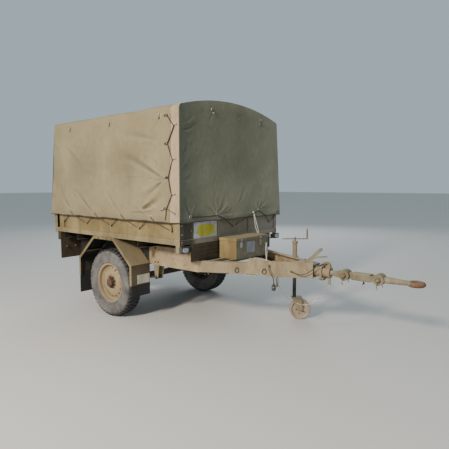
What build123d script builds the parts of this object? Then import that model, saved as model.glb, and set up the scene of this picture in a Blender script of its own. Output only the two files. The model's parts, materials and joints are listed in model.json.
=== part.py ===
from build123d import *
import os
from math import acosh, asinh, cos, cosh, hypot, pi, radians, sin, sinh, tan

# Single-axle field kitchen trailer with a canvas tilt, parked on its jockey wheel.
# Millimetres. +X points along the drawbar, +Y to the trailer's left, +Z up, z = 0 is the ground.
# Places along the trailer are measured from the front face of the body, forwards positive.

os.makedirs("parts", exist_ok=True)

# Body
body_width = 1676
body_length = 2190
rail_height = 50
rail_width = 30
rail_top = 947
board_height = 333
board_thick = 22
board_inset = 10
floor_thick = 18
floor_top = 935
post_width = 55
post_foot = 825
rear_post_inset = 32
rear_post_length = 42
stiffener_y = 265
stiffener_width = 34
stiffener_depth = 14

# Chassis and bearers
chassis_half = 577
chassis_bottom = 605
chassis_height = 145
chassis_flange = 60
chassis_wall = 6
chassis_length = 2085
bearer_height = 100
bearer_flange = 45
bearer_wall = 5

# A-frame
frame_angle = 26.8
beam_bottom = 609
beam_height = 110
beam_flange = 60
beam_wall = 6
beam_end = 995
gusset_start = 780
gusset_thick = 8
cheek_foot = 595
cheek_top = 745
cheek_crest = 768
panel_half = 690
panel_thick = 4
panel_foot = 724

# Running gear
track = 1494
axle_back = 1140
tyre_radius = 380
tyre_width = 190
tyre_wall = 14
seat_radius = 207
flange_radius = 222
rim_half = 75
disc_holes = 16
disc_hole_radius = 10
disc_hole_circle = 160
drum_radius = 152
drum_wall = 8
spindle_radius = 25
hub_radius = 46
axle_square = 60
spring_y = 547
spring_width = 60
spring_half = 520
spring_camber = 20
leaf_thick = 7
leaf_count = 5
hanger_thick = 8

# Mudguards
guard_outer = 848
guard_inner = 592
guard_half = 492
guard_top_half = 187
guard_back = 1212
guard_knee_z = 622
guard_foot_z = 402
guard_wall = 3
guard_lip = 30
flap_thick = 6
flap_overlap = 40
front_flap_foot = 280
rear_flap_foot = 190
stay_radius = 11
plate_width = 170
plate_height = 97
plate_thick = 2

# Tailgate
gate_thick = 60
gate_gap = 5
gate_bottom = 885
gate_height = 400
gate_width = 1670
gate_wall = 3
hinge_radius = 12
hinge_length = 90
hinge_drop = 13
hinge_y = 600

# Canvas
canvas_thick = 5
canvas_eave_z = 2222
canvas_crown_z = 2345
canvas_hem_z = 1117
canvas_flare = 36
canvas_rear_flare = 70
canvas_back = 2200
canvas_corner = 60
canvas_drop = 62
wrap_length = 95
lacing_gap = 12
curtain_clear = 12
bow_tube = 25
bow_row = (-330, -1130, -1930)

# Drawbar
drawbar_z = 660
tube_radius = 50
tube_bore = 44
tube_start = 640
tube_end = 1056
bush_length = 40
flange_thick = 20
flange_height = 160
flange_width = 120
collar_length = 68
collar_radius = 48
lug_thick = 22
shaft_radius = 24
shaft_clear = 0.3
overrun_travel = 55
knuckle_radius = 50
knuckle_teeth = 24
knuckle_tooth = 3
knuckle_clear = 0.5
ear_thick = 22
tongue_thick = 44
first_knuckle = 1285
arm_length = 312
arm_height = 66
eye_reach = 300
eye_bore = 34
eye_bar = 21
eye_flat = 2
pin_radius = 15
pin_clear = 0.1

# Jockey wheel
jockey_x = 525
jockey_gap = 88
jockey_tube = 25
jockey_stem = 20
stem_clear = 0.4
jockey_tube_foot = 462
jockey_tube_top = 868
jockey_stem_top = 640
jockey_trail = 65
jockey_angle = 40
jockey_radius = 114
jockey_width = 52
jockey_axle = 9
fork_gap = 6
fork_thick = 6
fork_width = 44
crown_z = 238
crown_thick = 12

# Toolbox
box_back = 28
box_depth = 220
box_half = 287
box_foot = 722
box_height = 203
bearer_places = (75, 205)
lid_height = 28
lid_clear = 5
lid_hinge = 6
hinge_place = 190
hinge_reach = 50
knuckle_reach = 25
pin_size = 3
sheet = 2.5
lever_y = 74
lever_angle = 41
lever_length = 220

# Cooking unit under the canvas
cooker_length = 1200
cooker_width = 1180
cooker_height = 720
cooker_back = 1075

# Cords and their fittings, places measured along, across and above the ground
lead_radius = 4
lead_x = 628
lead_z = 704
plug_radius = 18
plug_length = 62
cable_radius = 3
cable_start = (655, -215, 590)
cable_end = (1128, 0, 541)
cable_low = 330
cable_curve = 178
cable_runs = 12
brake_radius = 4.5
brake_x = 812
brake_z = 655
gland_foot = 6
gland_reach = 15
brake_stop = (1112, -22, 741)
holder_z = 502
holder_y = -212

# Hooks for the canvas rope
hook_row = (-111, -589, -1066, -1538, -2022)
front_hook_row = (-685, -22, 685)
hook_z = 1035
hook_reach = 22

# Places worked out from the sizes above
half_width = body_width / 2
rail_bottom = rail_top - rail_height
board_top = rail_top + board_height
board_outer = half_width - board_inset
board_inner = board_outer - board_thick
bed_half = half_width - rail_width
floor_bottom = floor_top - floor_thick
chassis_top = chassis_bottom + chassis_height
sill_height = floor_bottom - bearer_height - chassis_top
beam_top = beam_bottom + beam_height
gate_back = body_length + gate_gap + gate_thick
frame_slope = tan(radians(frame_angle))
collar_end = tube_end + flange_thick + collar_length
eye_outer = eye_bore + 2 * eye_bar - eye_flat
drawbar_reach = first_knuckle + arm_length + eye_reach + eye_outer
rear_reach = canvas_back + canvas_rear_flare
front_x = (rear_reach - drawbar_reach) / 2
axle_x = front_x - axle_back
guard_x = front_x - guard_back
guard_top_z = rail_bottom - 2
first_x = front_x + first_knuckle
second_x = first_x + arm_length
eye_x = second_x + eye_reach
wheel_out = track / 2
jockey_y = chassis_half - jockey_x * frame_slope + jockey_gap
spring_seat = tyre_radius + axle_square / 2 + 8
pack_top = spring_seat + leaf_count * leaf_thick
spring_eye_z = pack_top + spring_camber
sides = (("right", -1), ("left", 1))


def channel(width, height, wall, opening=1):
    """A C-section with its web at the left for opening 1 and at the right for opening -1."""
    Rectangle(width, height)
    with Locations((opening * wall, 0)):
        Rectangle(width, height - 2 * wall, mode=Mode.SUBTRACT)


# Chassis rails: two channels with their webs outward and a box sill along each
with BuildPart() as chassis_rails:
    with BuildSketch(Plane.YZ.offset(front_x - chassis_length)):
        for name, side in sides:
            rail_y = side * (chassis_half - chassis_flange / 2)
            with Locations((rail_y, chassis_bottom + chassis_height / 2)):
                channel(chassis_flange, chassis_height, chassis_wall, -side)
            with Locations((rail_y, chassis_top + sill_height / 2)):
                Rectangle(chassis_flange, sill_height)
                Rectangle(chassis_flange - 10, sill_height - 10, mode=Mode.SUBTRACT)
    extrude(amount=chassis_length)
chassis_rails.part.label = "chassis_rails"
export_step(chassis_rails.part, "parts/chassis_rails.step")

# Cross members between the rails, at the ends and over the spring hangers
cross_row = (-60, spring_half - axle_back, -spring_half - axle_back, 60 - chassis_length)
cross_half = chassis_half - chassis_flange
with BuildPart() as cross_members:
    for x in cross_row:
        with BuildSketch(Plane.XZ.offset(-cross_half)):
            with Locations((front_x + x, chassis_bottom + chassis_height / 2)):
                channel(50, chassis_height - 30, chassis_wall)
        extrude(amount=2 * cross_half)
cross_members.part.label = "cross_members"
export_step(cross_members.part, "parts/cross_members.step")

# Floor bearers: columns are the place along the body and the half length
bearer_table = (
    (-60, bed_half),
    (-640, bed_half),
    (-1020, chassis_half),
    (-1400, chassis_half),
    (-1780, bed_half),
    (125 - body_length, bed_half),
)
with BuildPart() as floor_bearers:
    for x, reach in bearer_table:
        with BuildSketch(Plane.XZ.offset(-reach)):
            with Locations((front_x + x, floor_bottom - bearer_height / 2)):
                channel(bearer_flange, bearer_height, bearer_wall)
        extrude(amount=2 * reach)
floor_bearers.part.label = "floor_bearers"
export_step(floor_bearers.part, "parts/floor_bearers.step")

# Floor between the rails
with BuildPart() as floor:
    with BuildSketch(Plane.XY.offset(floor_bottom)):
        with Locations((front_x - body_length / 2, 0)):
            Rectangle(body_length - 2 * rail_width, 2 * bed_half)
    extrude(amount=floor_thick)
floor.part.label = "floor"
export_step(floor.part, "parts/floor.step")

# Edge rails: a frame of box section round the floor, open tubes along the sides
with BuildPart() as edge_rails:
    with BuildSketch(Plane.XY.offset(rail_bottom)):
        with Locations((front_x - body_length / 2, 0)):
            Rectangle(body_length, body_width)
            Rectangle(body_length - 2 * rail_width, 2 * bed_half, mode=Mode.SUBTRACT)
    extrude(amount=rail_height)
    for name, side in sides:
        with BuildSketch(Plane.YZ.offset(front_x - body_length)):
            with Locations((side * (half_width - rail_width / 2), rail_top - rail_height / 2)):
                Rectangle(rail_width - 6, rail_height - 6)
        extrude(amount=body_length, mode=Mode.SUBTRACT)
edge_rails.part.label = "edge_rails"
export_step(edge_rails.part, "parts/edge_rails.step")

# Boards round the bed: two sides, and a front one with stiffeners between the front posts
board_length = body_length - post_width - rear_post_length
with BuildPart() as body_boards:
    with BuildSketch(Plane.YZ.offset(front_x - post_width - board_length)):
        for name, side in sides:
            with Locations((side * (board_outer - board_thick / 2), rail_top + board_height / 2)):
                Rectangle(board_thick, board_height)
    extrude(amount=board_length)
    fillet(body_boards.edges().filter_by(Axis.X).group_by(Axis.Z)[-1], 6)
    with BuildSketch(Plane.YZ.offset(front_x - board_inset - board_thick)):
        with Locations((0, rail_top + board_height / 2)):
            Rectangle(body_width - 2 * post_width, board_height)
    extrude(amount=board_thick)
    with BuildSketch(Plane.YZ.offset(front_x - board_inset)):
        for name, side in sides:
            with Locations((side * stiffener_y, rail_top + board_height / 2)):
                Rectangle(stiffener_width, board_height)
    extrude(amount=stiffener_depth)
body_boards.part.label = "body_boards"
export_step(body_boards.part, "parts/body_boards.step")

# Hooks for the canvas rope on the side boards and the front board
with BuildPart() as rope_hooks:
    for radius, start, end in ((6, 0, hook_reach), (11, hook_reach - 5, hook_reach)):
        for name, side in sides:
            with BuildSketch(Plane.XZ.offset(-side * (board_outer + (start + end) / 2))):
                with Locations(*[(front_x + x, hook_z) for x in hook_row]):
                    Circle(radius)
            extrude(amount=(end - start) / 2, both=True)
        with BuildSketch(Plane.YZ.offset(front_x - board_inset + start)):
            with Locations(*[(y, hook_z) for y in front_hook_row]):
                Circle(radius)
        extrude(amount=end - start)
rope_hooks.part.label = "rope_hooks"
export_step(rope_hooks.part, "parts/rope_hooks.step")

# Corner posts on the edge rails, angle feet under the front ones, the rear ones set in behind the tailgate
with BuildPart() as corner_posts:
    for name, side in sides:
        with BuildSketch(Plane.XY.offset(rail_top)):
            with Locations((front_x - post_width / 2, side * (half_width - post_width / 2))):
                Rectangle(post_width, post_width)
            rear_y = side * (half_width - rear_post_inset - post_width / 2)
            with Locations((front_x - body_length + rear_post_length / 2, rear_y)):
                Rectangle(rear_post_length, post_width)
        extrude(amount=board_height)
        with BuildSketch(Plane.XY.offset(post_foot)):
            with Locations((front_x - 2.5, side * (half_width - post_width / 2))):
                Rectangle(5, post_width)
            with Locations((front_x - post_width / 2, side * (half_width - 2.5))):
                Rectangle(post_width, 5)
        extrude(amount=rail_bottom - post_foot)
corner_posts.part.label = "corner_posts"
export_step(corner_posts.part, "parts/corner_posts.step")

# Tailgate: a pan with folded edges and two ribs, with knuckles on its foot
pin_x = front_x - gate_back
pin_z = gate_bottom - hinge_drop
gate_mid = gate_bottom + gate_height / 2
with BuildPart() as tailgate:
    with BuildSketch(Plane.YZ.offset(pin_x)):
        with Locations((0, gate_mid)):
            Rectangle(gate_width, gate_height)
    extrude(amount=gate_thick)
    with BuildSketch(Plane.YZ.offset(pin_x + gate_wall)):
        with Locations((0, gate_mid)):
            Rectangle(gate_width - 2 * gate_wall, gate_height - 2 * gate_wall)
    extrude(amount=gate_thick, mode=Mode.SUBTRACT)
    with BuildSketch(Plane.YZ.offset(pin_x + gate_wall)):
        with Locations((0, gate_mid)):
            with GridLocations(gate_width / 3, 0, 2, 1):
                Rectangle(50, gate_height - 2 * gate_wall)
    extrude(amount=gate_thick - gate_wall - 4)
    for name, side in sides:
        for start in (0, hinge_length * 2 / 3):
            with BuildSketch(Plane.XZ.offset(hinge_length / 2 - side * hinge_y - start)):
                with Locations((pin_x, pin_z)):
                    Circle(hinge_radius)
                with Locations((pin_x + hinge_radius / 2, pin_z + hinge_drop / 2)):
                    Rectangle(hinge_radius, hinge_drop)
                with Locations((pin_x, pin_z)):
                    Circle(hinge_radius / 2, mode=Mode.SUBTRACT)
            extrude(amount=-hinge_length / 3)
tailgate.part.label = "tailgate"
export_step(tailgate.part, "parts/tailgate.step")

# Tailgate pins on brackets from the rear rail
bracket_reach = gate_back - body_length
with BuildPart() as gate_hinges:
    for name, side in sides:
        with BuildSketch(Plane.XZ.offset(hinge_length / 2 - side * hinge_y)):
            with Locations((pin_x, pin_z)):
                Circle(hinge_radius / 2 - 0.05)
        extrude(amount=-hinge_length)
        with BuildSketch(Plane.XZ.offset(hinge_length / 6 - 1 - side * hinge_y)):
            with Locations((pin_x, pin_z)):
                Circle(hinge_radius)
            with Locations((pin_x + (bracket_reach + rail_width) / 2, pin_z)):
                Rectangle(bracket_reach + rail_width, 2 * hinge_radius - 4)
            with Locations((pin_x + bracket_reach + rail_width / 2, (pin_z + rail_bottom) / 2)):
                Rectangle(rail_width, rail_bottom - pin_z)
        extrude(amount=-(hinge_length / 3 - 2))
gate_hinges.part.label = "gate_hinges"
export_step(gate_hinges.part, "parts/gate_hinges.step")


def tilt_section(inset, foot):
    """The canvas section in Y and Z, inset from its outer surface, down to foot."""
    half = half_width - inset
    eave = canvas_eave_z - inset
    with BuildSketch() as section:
        with BuildLine():
            Line((-half, foot), (-half, eave))
            ThreePointArc((-half, eave), (0, canvas_crown_z - inset), (half, eave))
            Line((half, eave), (half, foot))
            Line((half, foot), (-half, foot))
        make_face()
        fillet(section.vertices().sort_by(Axis.Y)[-2:], canvas_corner - inset)
    return section.sketch


def side_section(side):
    """A slanted side curtain as a thin face in Y and Z."""
    top = (side * half_width, roof_foot)
    hem = (side * (half_width + canvas_flare), canvas_hem_z)
    inward = -side * canvas_thick
    return Polygon(top, hem, (hem[0] + inward, hem[1]), (top[0] + inward, top[1]), align=None)


def end_curtain(half_hem, hem_drop):
    """An end curtain's outline, half_hem wide at hem_drop below the eaves."""
    with BuildSketch() as outline:
        with BuildLine():
            Line((-half_hem, -hem_drop), (-half_width, -canvas_drop))
            Line((-half_width, -canvas_drop), (-half_width, 0))
            ThreePointArc((-half_width, 0), (0, canvas_crown_z - canvas_eave_z), (half_width, 0))
            Line((half_width, 0), (half_width, -canvas_drop))
            Line((half_width, -canvas_drop), (half_hem, -hem_drop))
            Line((half_hem, -hem_drop), (-half_hem, -hem_drop))
        make_face()
        fillet(outline.vertices().sort_by(Axis.Y)[-2:], canvas_corner)
    return outline.sketch


# Planes of the leaning end curtains, facing outward
front_slope = canvas_flare / (canvas_eave_z - canvas_hem_z)
rear_slope = canvas_rear_flare / (canvas_eave_z - canvas_hem_z)
front_plane = Plane(origin=(front_x, 0, canvas_eave_z), x_dir=(0, 1, 0), z_dir=(1, 0, front_slope))
rear_plane = Plane(origin=(front_x - canvas_back, 0, canvas_eave_z), x_dir=(0, -1, 0),
                   z_dir=(-1, 0, rear_slope))

# Canvas roof with rounded eaves, between the end curtains
roof_foot = canvas_eave_z - canvas_drop
roof_outer = tilt_section(0, roof_foot)
roof_inner = tilt_section(canvas_thick, roof_foot - canvas_thick)
with BuildPart() as canvas_roof:
    with BuildSketch(Plane.YZ.offset(front_x - canvas_back - canvas_flare)):
        add(roof_outer)
        add(roof_inner, mode=Mode.SUBTRACT)
    extrude(amount=canvas_back + 2 * canvas_flare)
    for end_plane in (front_plane, rear_plane):
        split(bisect_by=end_plane.offset(-canvas_thick - 1), keep=Keep.BOTTOM)
canvas_roof.part.label = "canvas_roof"
export_step(canvas_roof.part, "parts/canvas_roof.step")

# Side curtains from the lacing to the rear curtain
with BuildPart() as canvas_sides:
    with BuildSketch(Plane.YZ.offset(front_x - rear_reach - 10)):
        for name, side in sides:
            add(side_section(side))
    extrude(amount=rear_reach + 10 - wrap_length - lacing_gap)
    split(bisect_by=rear_plane.offset(-canvas_thick - 1), keep=Keep.BOTTOM)
canvas_sides.part.label = "canvas_sides"
export_step(canvas_sides.part, "parts/canvas_sides.step")

# Front curtain, wrapped round both corners as far as the lacing
front_hem_drop = (canvas_eave_z - canvas_hem_z) * hypot(1, front_slope)
front_outline = end_curtain(half_width + canvas_flare, front_hem_drop)
with BuildPart() as canvas_front:
    for name, side in sides:
        with BuildSketch(Plane.YZ.offset(front_x - wrap_length)):
            add(side_section(side))
        extrude(amount=wrap_length + 2 * canvas_flare)
    split(bisect_by=front_plane.offset(-1), keep=Keep.BOTTOM)
    with BuildSketch(front_plane):
        add(front_outline)
    extrude(amount=-canvas_thick)
canvas_front.part.label = "canvas_front"
export_step(canvas_front.part, "parts/canvas_front.step")

# Rear curtain, ending above the tailgate
rear_hem_z = gate_bottom + gate_height + curtain_clear
rear_hem_drop = (canvas_eave_z - rear_hem_z) * hypot(1, rear_slope)
rear_half_hem = half_width + canvas_flare * (roof_foot - rear_hem_z) / (roof_foot - canvas_hem_z)
rear_outline = end_curtain(rear_half_hem, rear_hem_drop)
with BuildPart() as canvas_rear:
    with BuildSketch(rear_plane):
        add(rear_outline)
    extrude(amount=-canvas_thick)
canvas_rear.part.label = "canvas_rear"
export_step(canvas_rear.part, "parts/canvas_rear.step")

# Bows of square tube that stand on the side boards
bow_inset = half_width - (board_outer + board_inner + bow_tube) / 2
bow_outer = tilt_section(bow_inset, board_top)
bow_inner = tilt_section(bow_inset + bow_tube, board_top - 1)
with BuildPart() as canvas_bows:
    for x in bow_row:
        with BuildSketch(Plane.YZ.offset(front_x + x - bow_tube / 2)):
            add(bow_outer)
            add(bow_inner, mode=Mode.SUBTRACT)
        extrude(amount=bow_tube)
canvas_bows.part.label = "canvas_bows"
export_step(canvas_bows.part, "parts/canvas_bows.step")

# Cooking unit: one plain block on the floor
with BuildPart() as cooking_unit:
    with BuildSketch(Plane.XY.offset(floor_top)):
        with Locations((front_x - cooker_back, 0)):
            Rectangle(cooker_length, cooker_width)
    extrude(amount=cooker_height)
cooking_unit.part.label = "cooking_unit"
export_step(cooking_unit.part, "parts/cooking_unit.step")


def frame_strip(side, start, end, near, far):
    """Plan of a strip along an A-frame beam, near to far millimetres in from its outer face."""
    corners = []
    for x, depth in ((start, near), (end, near), (end, far), (start, far)):
        y = chassis_half - depth / cos(radians(frame_angle)) - x * frame_slope
        corners.append((front_x + x, side * y))
    return Polygon(*corners, align=None)


# A-frame beams: channels open inward, coped round the drawbar tube, the right one with a raised cheek
# in its web; columns of the cheek are the place along the trailer and the height
cheek_table = (
    (430, 690),
    (455, cheek_crest),
    (556, cheek_crest),
    (600, cheek_top),
    (beam_end, cheek_top),
    (beam_end, cheek_foot),
    (600, cheek_foot),
    (570, 615),
)
outward = Vector(sin(radians(frame_angle)), -cos(radians(frame_angle)), 0)
forward = Vector(cos(radians(frame_angle)), sin(radians(frame_angle)), 0)
with BuildPart() as frame_beams:
    for name, side in sides:
        with BuildSketch(Plane.XY.offset(beam_bottom)):
            frame_strip(side, 1, beam_end, 0, beam_flange)
        extrude(amount=beam_height)
        with BuildSketch(Plane.XY.offset(beam_bottom + beam_wall)):
            frame_strip(side, 0, beam_end + 50, beam_wall, beam_flange + 1)
        extrude(amount=beam_height - 2 * beam_wall, mode=Mode.SUBTRACT)
    with BuildSketch(Plane.YZ.offset(front_x + tube_start)):
        with Locations((0, drawbar_z)):
            Circle(tube_radius + 0.5)
        with Locations((0, drawbar_z - tube_radius)):
            Rectangle(tube_radius, tube_radius / 2)
    extrude(amount=beam_end, mode=Mode.SUBTRACT)
    with BuildSketch(Plane(origin=(front_x, -chassis_half, 0), x_dir=forward, z_dir=outward)):
        corners = []
        for x, z in cheek_table:
            corners.append((x / cos(radians(frame_angle)), z))
        Polygon(*corners, align=None)
    extrude(amount=-beam_wall)
frame_beams.part.label = "frame_beams"
export_step(frame_beams.part, "parts/frame_beams.step")

# Gusset plates over and under the beams at the drawbar tube
with BuildPart() as head_gussets:
    for z in (beam_top, beam_bottom - gusset_thick):
        with BuildSketch(Plane.XY.offset(z)):
            corners = []
            for x, side in ((gusset_start, 1), (beam_end, 1), (beam_end, -1), (gusset_start, -1)):
                inset = (beam_wall + 1) / cos(radians(frame_angle))
                corners.append((front_x + x, side * (chassis_half - x * frame_slope - inset)))
            Polygon(*corners, align=None)
        extrude(amount=gusset_thick)
head_gussets.part.label = "head_gussets"
export_step(head_gussets.part, "parts/head_gussets.step")

# Ribbed panel across the front of the chassis under the body
with BuildPart() as front_panel:
    with BuildSketch(Plane.YZ.offset(front_x)):
        with Locations((0, (panel_foot + rail_bottom - 2) / 2)):
            Rectangle(2 * panel_half, rail_bottom - 2 - panel_foot)
    extrude(amount=panel_thick)
    with BuildSketch(Plane.YZ.offset(front_x + panel_thick)):
        for rib in range(4):
            with Locations((0, panel_foot + 26 + 40 * rib)):
                Rectangle(2 * panel_half - 40, 12)
    extrude(amount=3)
front_panel.part.label = "front_panel"
export_step(front_panel.part, "parts/front_panel.step")

# Overrun housing: tube, bolted flange and front collar round the sliding shaft
lug_x = front_x + tube_end
with BuildPart() as overrun_housing:
    with BuildSketch(Plane.YZ.offset(front_x + tube_start)):
        with Locations((0, drawbar_z)):
            Circle(tube_radius)
    extrude(amount=tube_end - tube_start)
    with BuildSketch(Plane.YZ.offset(front_x + tube_end)):
        with Locations((0, drawbar_z)):
            RectangleRounded(flange_width, flange_height, 40)
    extrude(amount=flange_thick)
    with BuildSketch(Plane.YZ.offset(front_x + tube_end + flange_thick)):
        with Locations((0, drawbar_z)):
            Circle(collar_radius)
    extrude(amount=collar_length)
    chamfer(overrun_housing.edges().filter_by(GeomType.CIRCLE).sort_by(Axis.X)[-1], 10)
    with BuildSketch(Plane.XZ.offset(-lug_thick / 2)):
        with BuildLine():
            Polyline((lug_x, drawbar_z), (lug_x, drawbar_z + 86), (lug_x + 30, drawbar_z + 98))
            ThreePointArc((lug_x + 30, drawbar_z + 98), (lug_x + 74, drawbar_z + 86),
                          (lug_x + 86, drawbar_z + 45))
            Polyline((lug_x + 86, drawbar_z + 45), (lug_x + 86, drawbar_z), (lug_x, drawbar_z))
        make_face()
    extrude(amount=lug_thick)
    with BuildSketch(Plane.XY.offset(cable_end[2] + 2)):
        with Locations((front_x + cable_end[0], 0)):
            Rectangle(28, 8)
    extrude(amount=drawbar_z - cable_end[2] - 2)
    with BuildSketch(Plane.YZ.offset(front_x + tube_start + 8)):
        with Locations((0, drawbar_z)):
            Circle(tube_bore)
    extrude(amount=collar_end - bush_length - tube_start - 8, mode=Mode.SUBTRACT)
    with BuildSketch(Plane.YZ.offset(front_x + tube_start + 20)):
        with Locations((0, drawbar_z)):
            Circle(shaft_radius + shaft_clear)
    extrude(amount=collar_end - tube_start, mode=Mode.SUBTRACT)
overrun_housing.part.label = "overrun_housing"
export_step(overrun_housing.part, "parts/overrun_housing.step")


def toothed_disc():
    """A knuckle's side view with serrations round its edge."""
    corners = []
    for tooth in range(knuckle_teeth):
        for depth, step in ((0, -0.25), (0, 0.05), (knuckle_tooth, 0.25)):
            reach = knuckle_radius - depth
            angle = 2 * pi * (tooth + step) / knuckle_teeth
            corners.append((reach * cos(angle), reach * sin(angle)))
    Polygon(*corners, align=None)


def knuckle(x, neck, neck_height):
    """Side view of a knuckle: a toothed disc and the neck it grows from."""
    with Locations((x, drawbar_z)):
        toothed_disc()
    with Locations((x + neck / 2, drawbar_z)):
        Rectangle(abs(neck), neck_height)


# Sliding shaft with the toothed ears of the first knuckle
tongue_half = tongue_thick / 2
ear_in = tongue_half + knuckle_clear
ear_out = tongue_half + ear_thick
shaft_start = tube_start + 30 + overrun_travel
yoke_back = knuckle_radius + 30
pin_half = ear_out + 20
with BuildPart() as overrun_shaft:
    with BuildSketch(Plane.YZ.offset(front_x + shaft_start)):
        with Locations((0, drawbar_z)):
            Circle(shaft_radius)
    extrude(amount=first_knuckle - yoke_back + 5 - shaft_start)
    with BuildSketch(Plane.XY.offset(drawbar_z - 26)):
        with Locations((first_x - yoke_back + 12, 0)):
            Rectangle(24, 2 * ear_out)
    extrude(amount=52)
    for start in (-ear_out, ear_in):
        with BuildSketch(Plane.XZ.offset(start)):
            knuckle(first_x, 10 - yoke_back, 52)
        extrude(amount=ear_out - ear_in)
    with BuildSketch(Plane.XZ.offset(-pin_half)):
        with Locations((first_x, drawbar_z)):
            Circle(pin_radius + pin_clear)
    extrude(amount=2 * pin_half, mode=Mode.SUBTRACT)
overrun_shaft.part.label = "overrun_shaft"
export_step(overrun_shaft.part, "parts/overrun_shaft.step")

# Drawbar arm: a tongue in the first knuckle, ears round the second
waist_length = arm_length - 2 * yoke_back + 16
with BuildPart() as drawbar_arm:
    with BuildSketch(Plane.XY.offset(drawbar_z - arm_height / 2)):
        with Locations((first_x + arm_length / 2, 0)):
            Rectangle(waist_length, 2 * ear_out)
    extrude(amount=arm_height)
    fillet(drawbar_arm.edges().filter_by(Axis.X), 12)
    with BuildSketch(Plane.XZ.offset(-tongue_half)):
        knuckle(first_x, yoke_back, 52)
    extrude(amount=tongue_thick)
    for start in (-ear_out, ear_in):
        with BuildSketch(Plane.XZ.offset(start)):
            knuckle(second_x, -yoke_back, 52)
        extrude(amount=ear_out - ear_in)
    with BuildSketch(Plane.XZ.offset(-pin_half)):
        with Locations((first_x, drawbar_z), (second_x, drawbar_z)):
            Circle(pin_radius + pin_clear)
    extrude(amount=2 * pin_half, mode=Mode.SUBTRACT)
drawbar_arm.part.label = "drawbar_arm"
export_step(drawbar_arm.part, "parts/drawbar_arm.step")

# Knuckle bolts with a head and a nut
for name, x in (("first", first_x), ("second", second_x)):
    with BuildPart() as bolt:
        with BuildSketch(Plane.XZ.offset(-pin_half)):
            with Locations((x, drawbar_z)):
                Circle(pin_radius)
        extrude(amount=2 * pin_half)
        for start in (-ear_out - 17, ear_out + 1):
            with BuildSketch(Plane.XZ.offset(start)):
                with Locations((x, drawbar_z)):
                    RegularPolygon(24, 6)
            extrude(amount=16)
    bolt.part.label = f"{name}_knuckle_bolt"
    export_step(bolt.part, f"parts/{name}_knuckle_bolt.step")

# Towing eye: a ring with a flattened bore, a round shank and a toothed tongue
with BuildPart() as towing_eye:
    with BuildSketch(Plane.XZ):
        with Locations((eye_x + eye_outer - eye_bar, drawbar_z)):
            Circle(eye_bar)
        with Locations((eye_x + eye_bore / 2, drawbar_z)):
            Rectangle(eye_bore, 4 * eye_bar, mode=Mode.SUBTRACT)
    revolve(axis=Axis((eye_x, 0, drawbar_z), (0, 0, 1)))
    with BuildSketch(Plane.XZ):
        shank_end = eye_x - eye_bore - 8
        Polygon((second_x + knuckle_radius, drawbar_z), (second_x + knuckle_radius, drawbar_z + 30),
                (shank_end, drawbar_z + eye_bar - 1), (shank_end, drawbar_z), align=None)
    revolve(axis=Axis((0, 0, drawbar_z), (1, 0, 0)))
    with BuildSketch(Plane.XZ.offset(-tongue_half)):
        knuckle(second_x, knuckle_radius + 18, 48)
    extrude(amount=tongue_thick)
    with BuildSketch(Plane.XZ.offset(-pin_half)):
        with Locations((second_x, drawbar_z)):
            Circle(pin_radius + pin_clear)
    extrude(amount=2 * pin_half, mode=Mode.SUBTRACT)
towing_eye.part.label = "towing_eye"
export_step(towing_eye.part, "parts/towing_eye.step")

# Axle: square beam with round spindles and the brake backplates
drum_in = wheel_out - 72
with BuildPart() as axle:
    with BuildSketch(Plane.XZ.offset(6 - drum_in)):
        with Locations((axle_x, tyre_radius)):
            Rectangle(axle_square, axle_square)
    extrude(amount=2 * (drum_in - 6))
    with BuildSketch(Plane.XZ.offset(-wheel_out - 30)):
        with Locations((axle_x, tyre_radius)):
            Circle(spindle_radius)
    extrude(amount=2 * (wheel_out + 30))
    for name, side in sides:
        with BuildSketch(Plane.XZ.offset(-side * (drum_in - 4))):
            with Locations((axle_x, tyre_radius)):
                Circle(drum_radius)
        extrude(amount=2, both=True)
axle.part.label = "axle"
export_step(axle.part, "parts/axle.step")

# Leaf springs: each leaf shorter than the one above it, rolled eyes on the main leaf
with BuildPart() as leaf_springs:
    for name, side in sides:
        with BuildSketch(Plane.XZ.offset(-side * spring_y - spring_width / 2)):
            for leaf in range(leaf_count):
                reach = spring_half - 75 * leaf
                drop = leaf * leaf_thick
                leaf_top = pack_top - drop
                end_z = leaf_top + spring_camber * (reach / spring_half) ** 2
                with BuildLine():
                    top = ThreePointArc((axle_x - reach, end_z), (axle_x, leaf_top), (axle_x + reach, end_z))
                    low = ThreePointArc(top @ 0 - (0, leaf_thick), top @ 0.5 - (0, leaf_thick),
                                        top @ 1 - (0, leaf_thick))
                    Line(top @ 0, low @ 0)
                    Line(top @ 1, low @ 1)
                make_face()
            with Locations((axle_x - spring_half, spring_eye_z), (axle_x + spring_half, spring_eye_z)):
                Circle(19)
                Circle(9, mode=Mode.SUBTRACT)
        extrude(amount=spring_width)
leaf_springs.part.label = "leaf_springs"
export_step(leaf_springs.part, "parts/leaf_springs.step")

# Spring hangers: two cheeks and a pin at each end of each spring
cheek_gap = spring_width + 1
with BuildPart() as spring_hangers:
    for name, side in sides:
        for end in (-1, 1):
            x = axle_x + end * spring_half
            for cheek in (-1, 1):
                y = side * spring_y + cheek * (cheek_gap + hanger_thick) / 2
                with BuildSketch(Plane.XZ.offset(-y - hanger_thick / 2)):
                    Polygon((x - 45, chassis_bottom), (x + 45, chassis_bottom), (x + 22, spring_eye_z),
                            (x - 22, spring_eye_z), align=None)
                    with Locations((x, spring_eye_z)):
                        Circle(22)
                extrude(amount=hanger_thick)
            with BuildSketch(Plane.XZ.offset(-side * spring_y - cheek_gap / 2 - hanger_thick - 5)):
                with Locations((x, spring_eye_z)):
                    Circle(8.7)
            extrude(amount=cheek_gap + 2 * hanger_thick + 10)
spring_hangers.part.label = "spring_hangers"
export_step(spring_hangers.part, "parts/spring_hangers.step")

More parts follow.
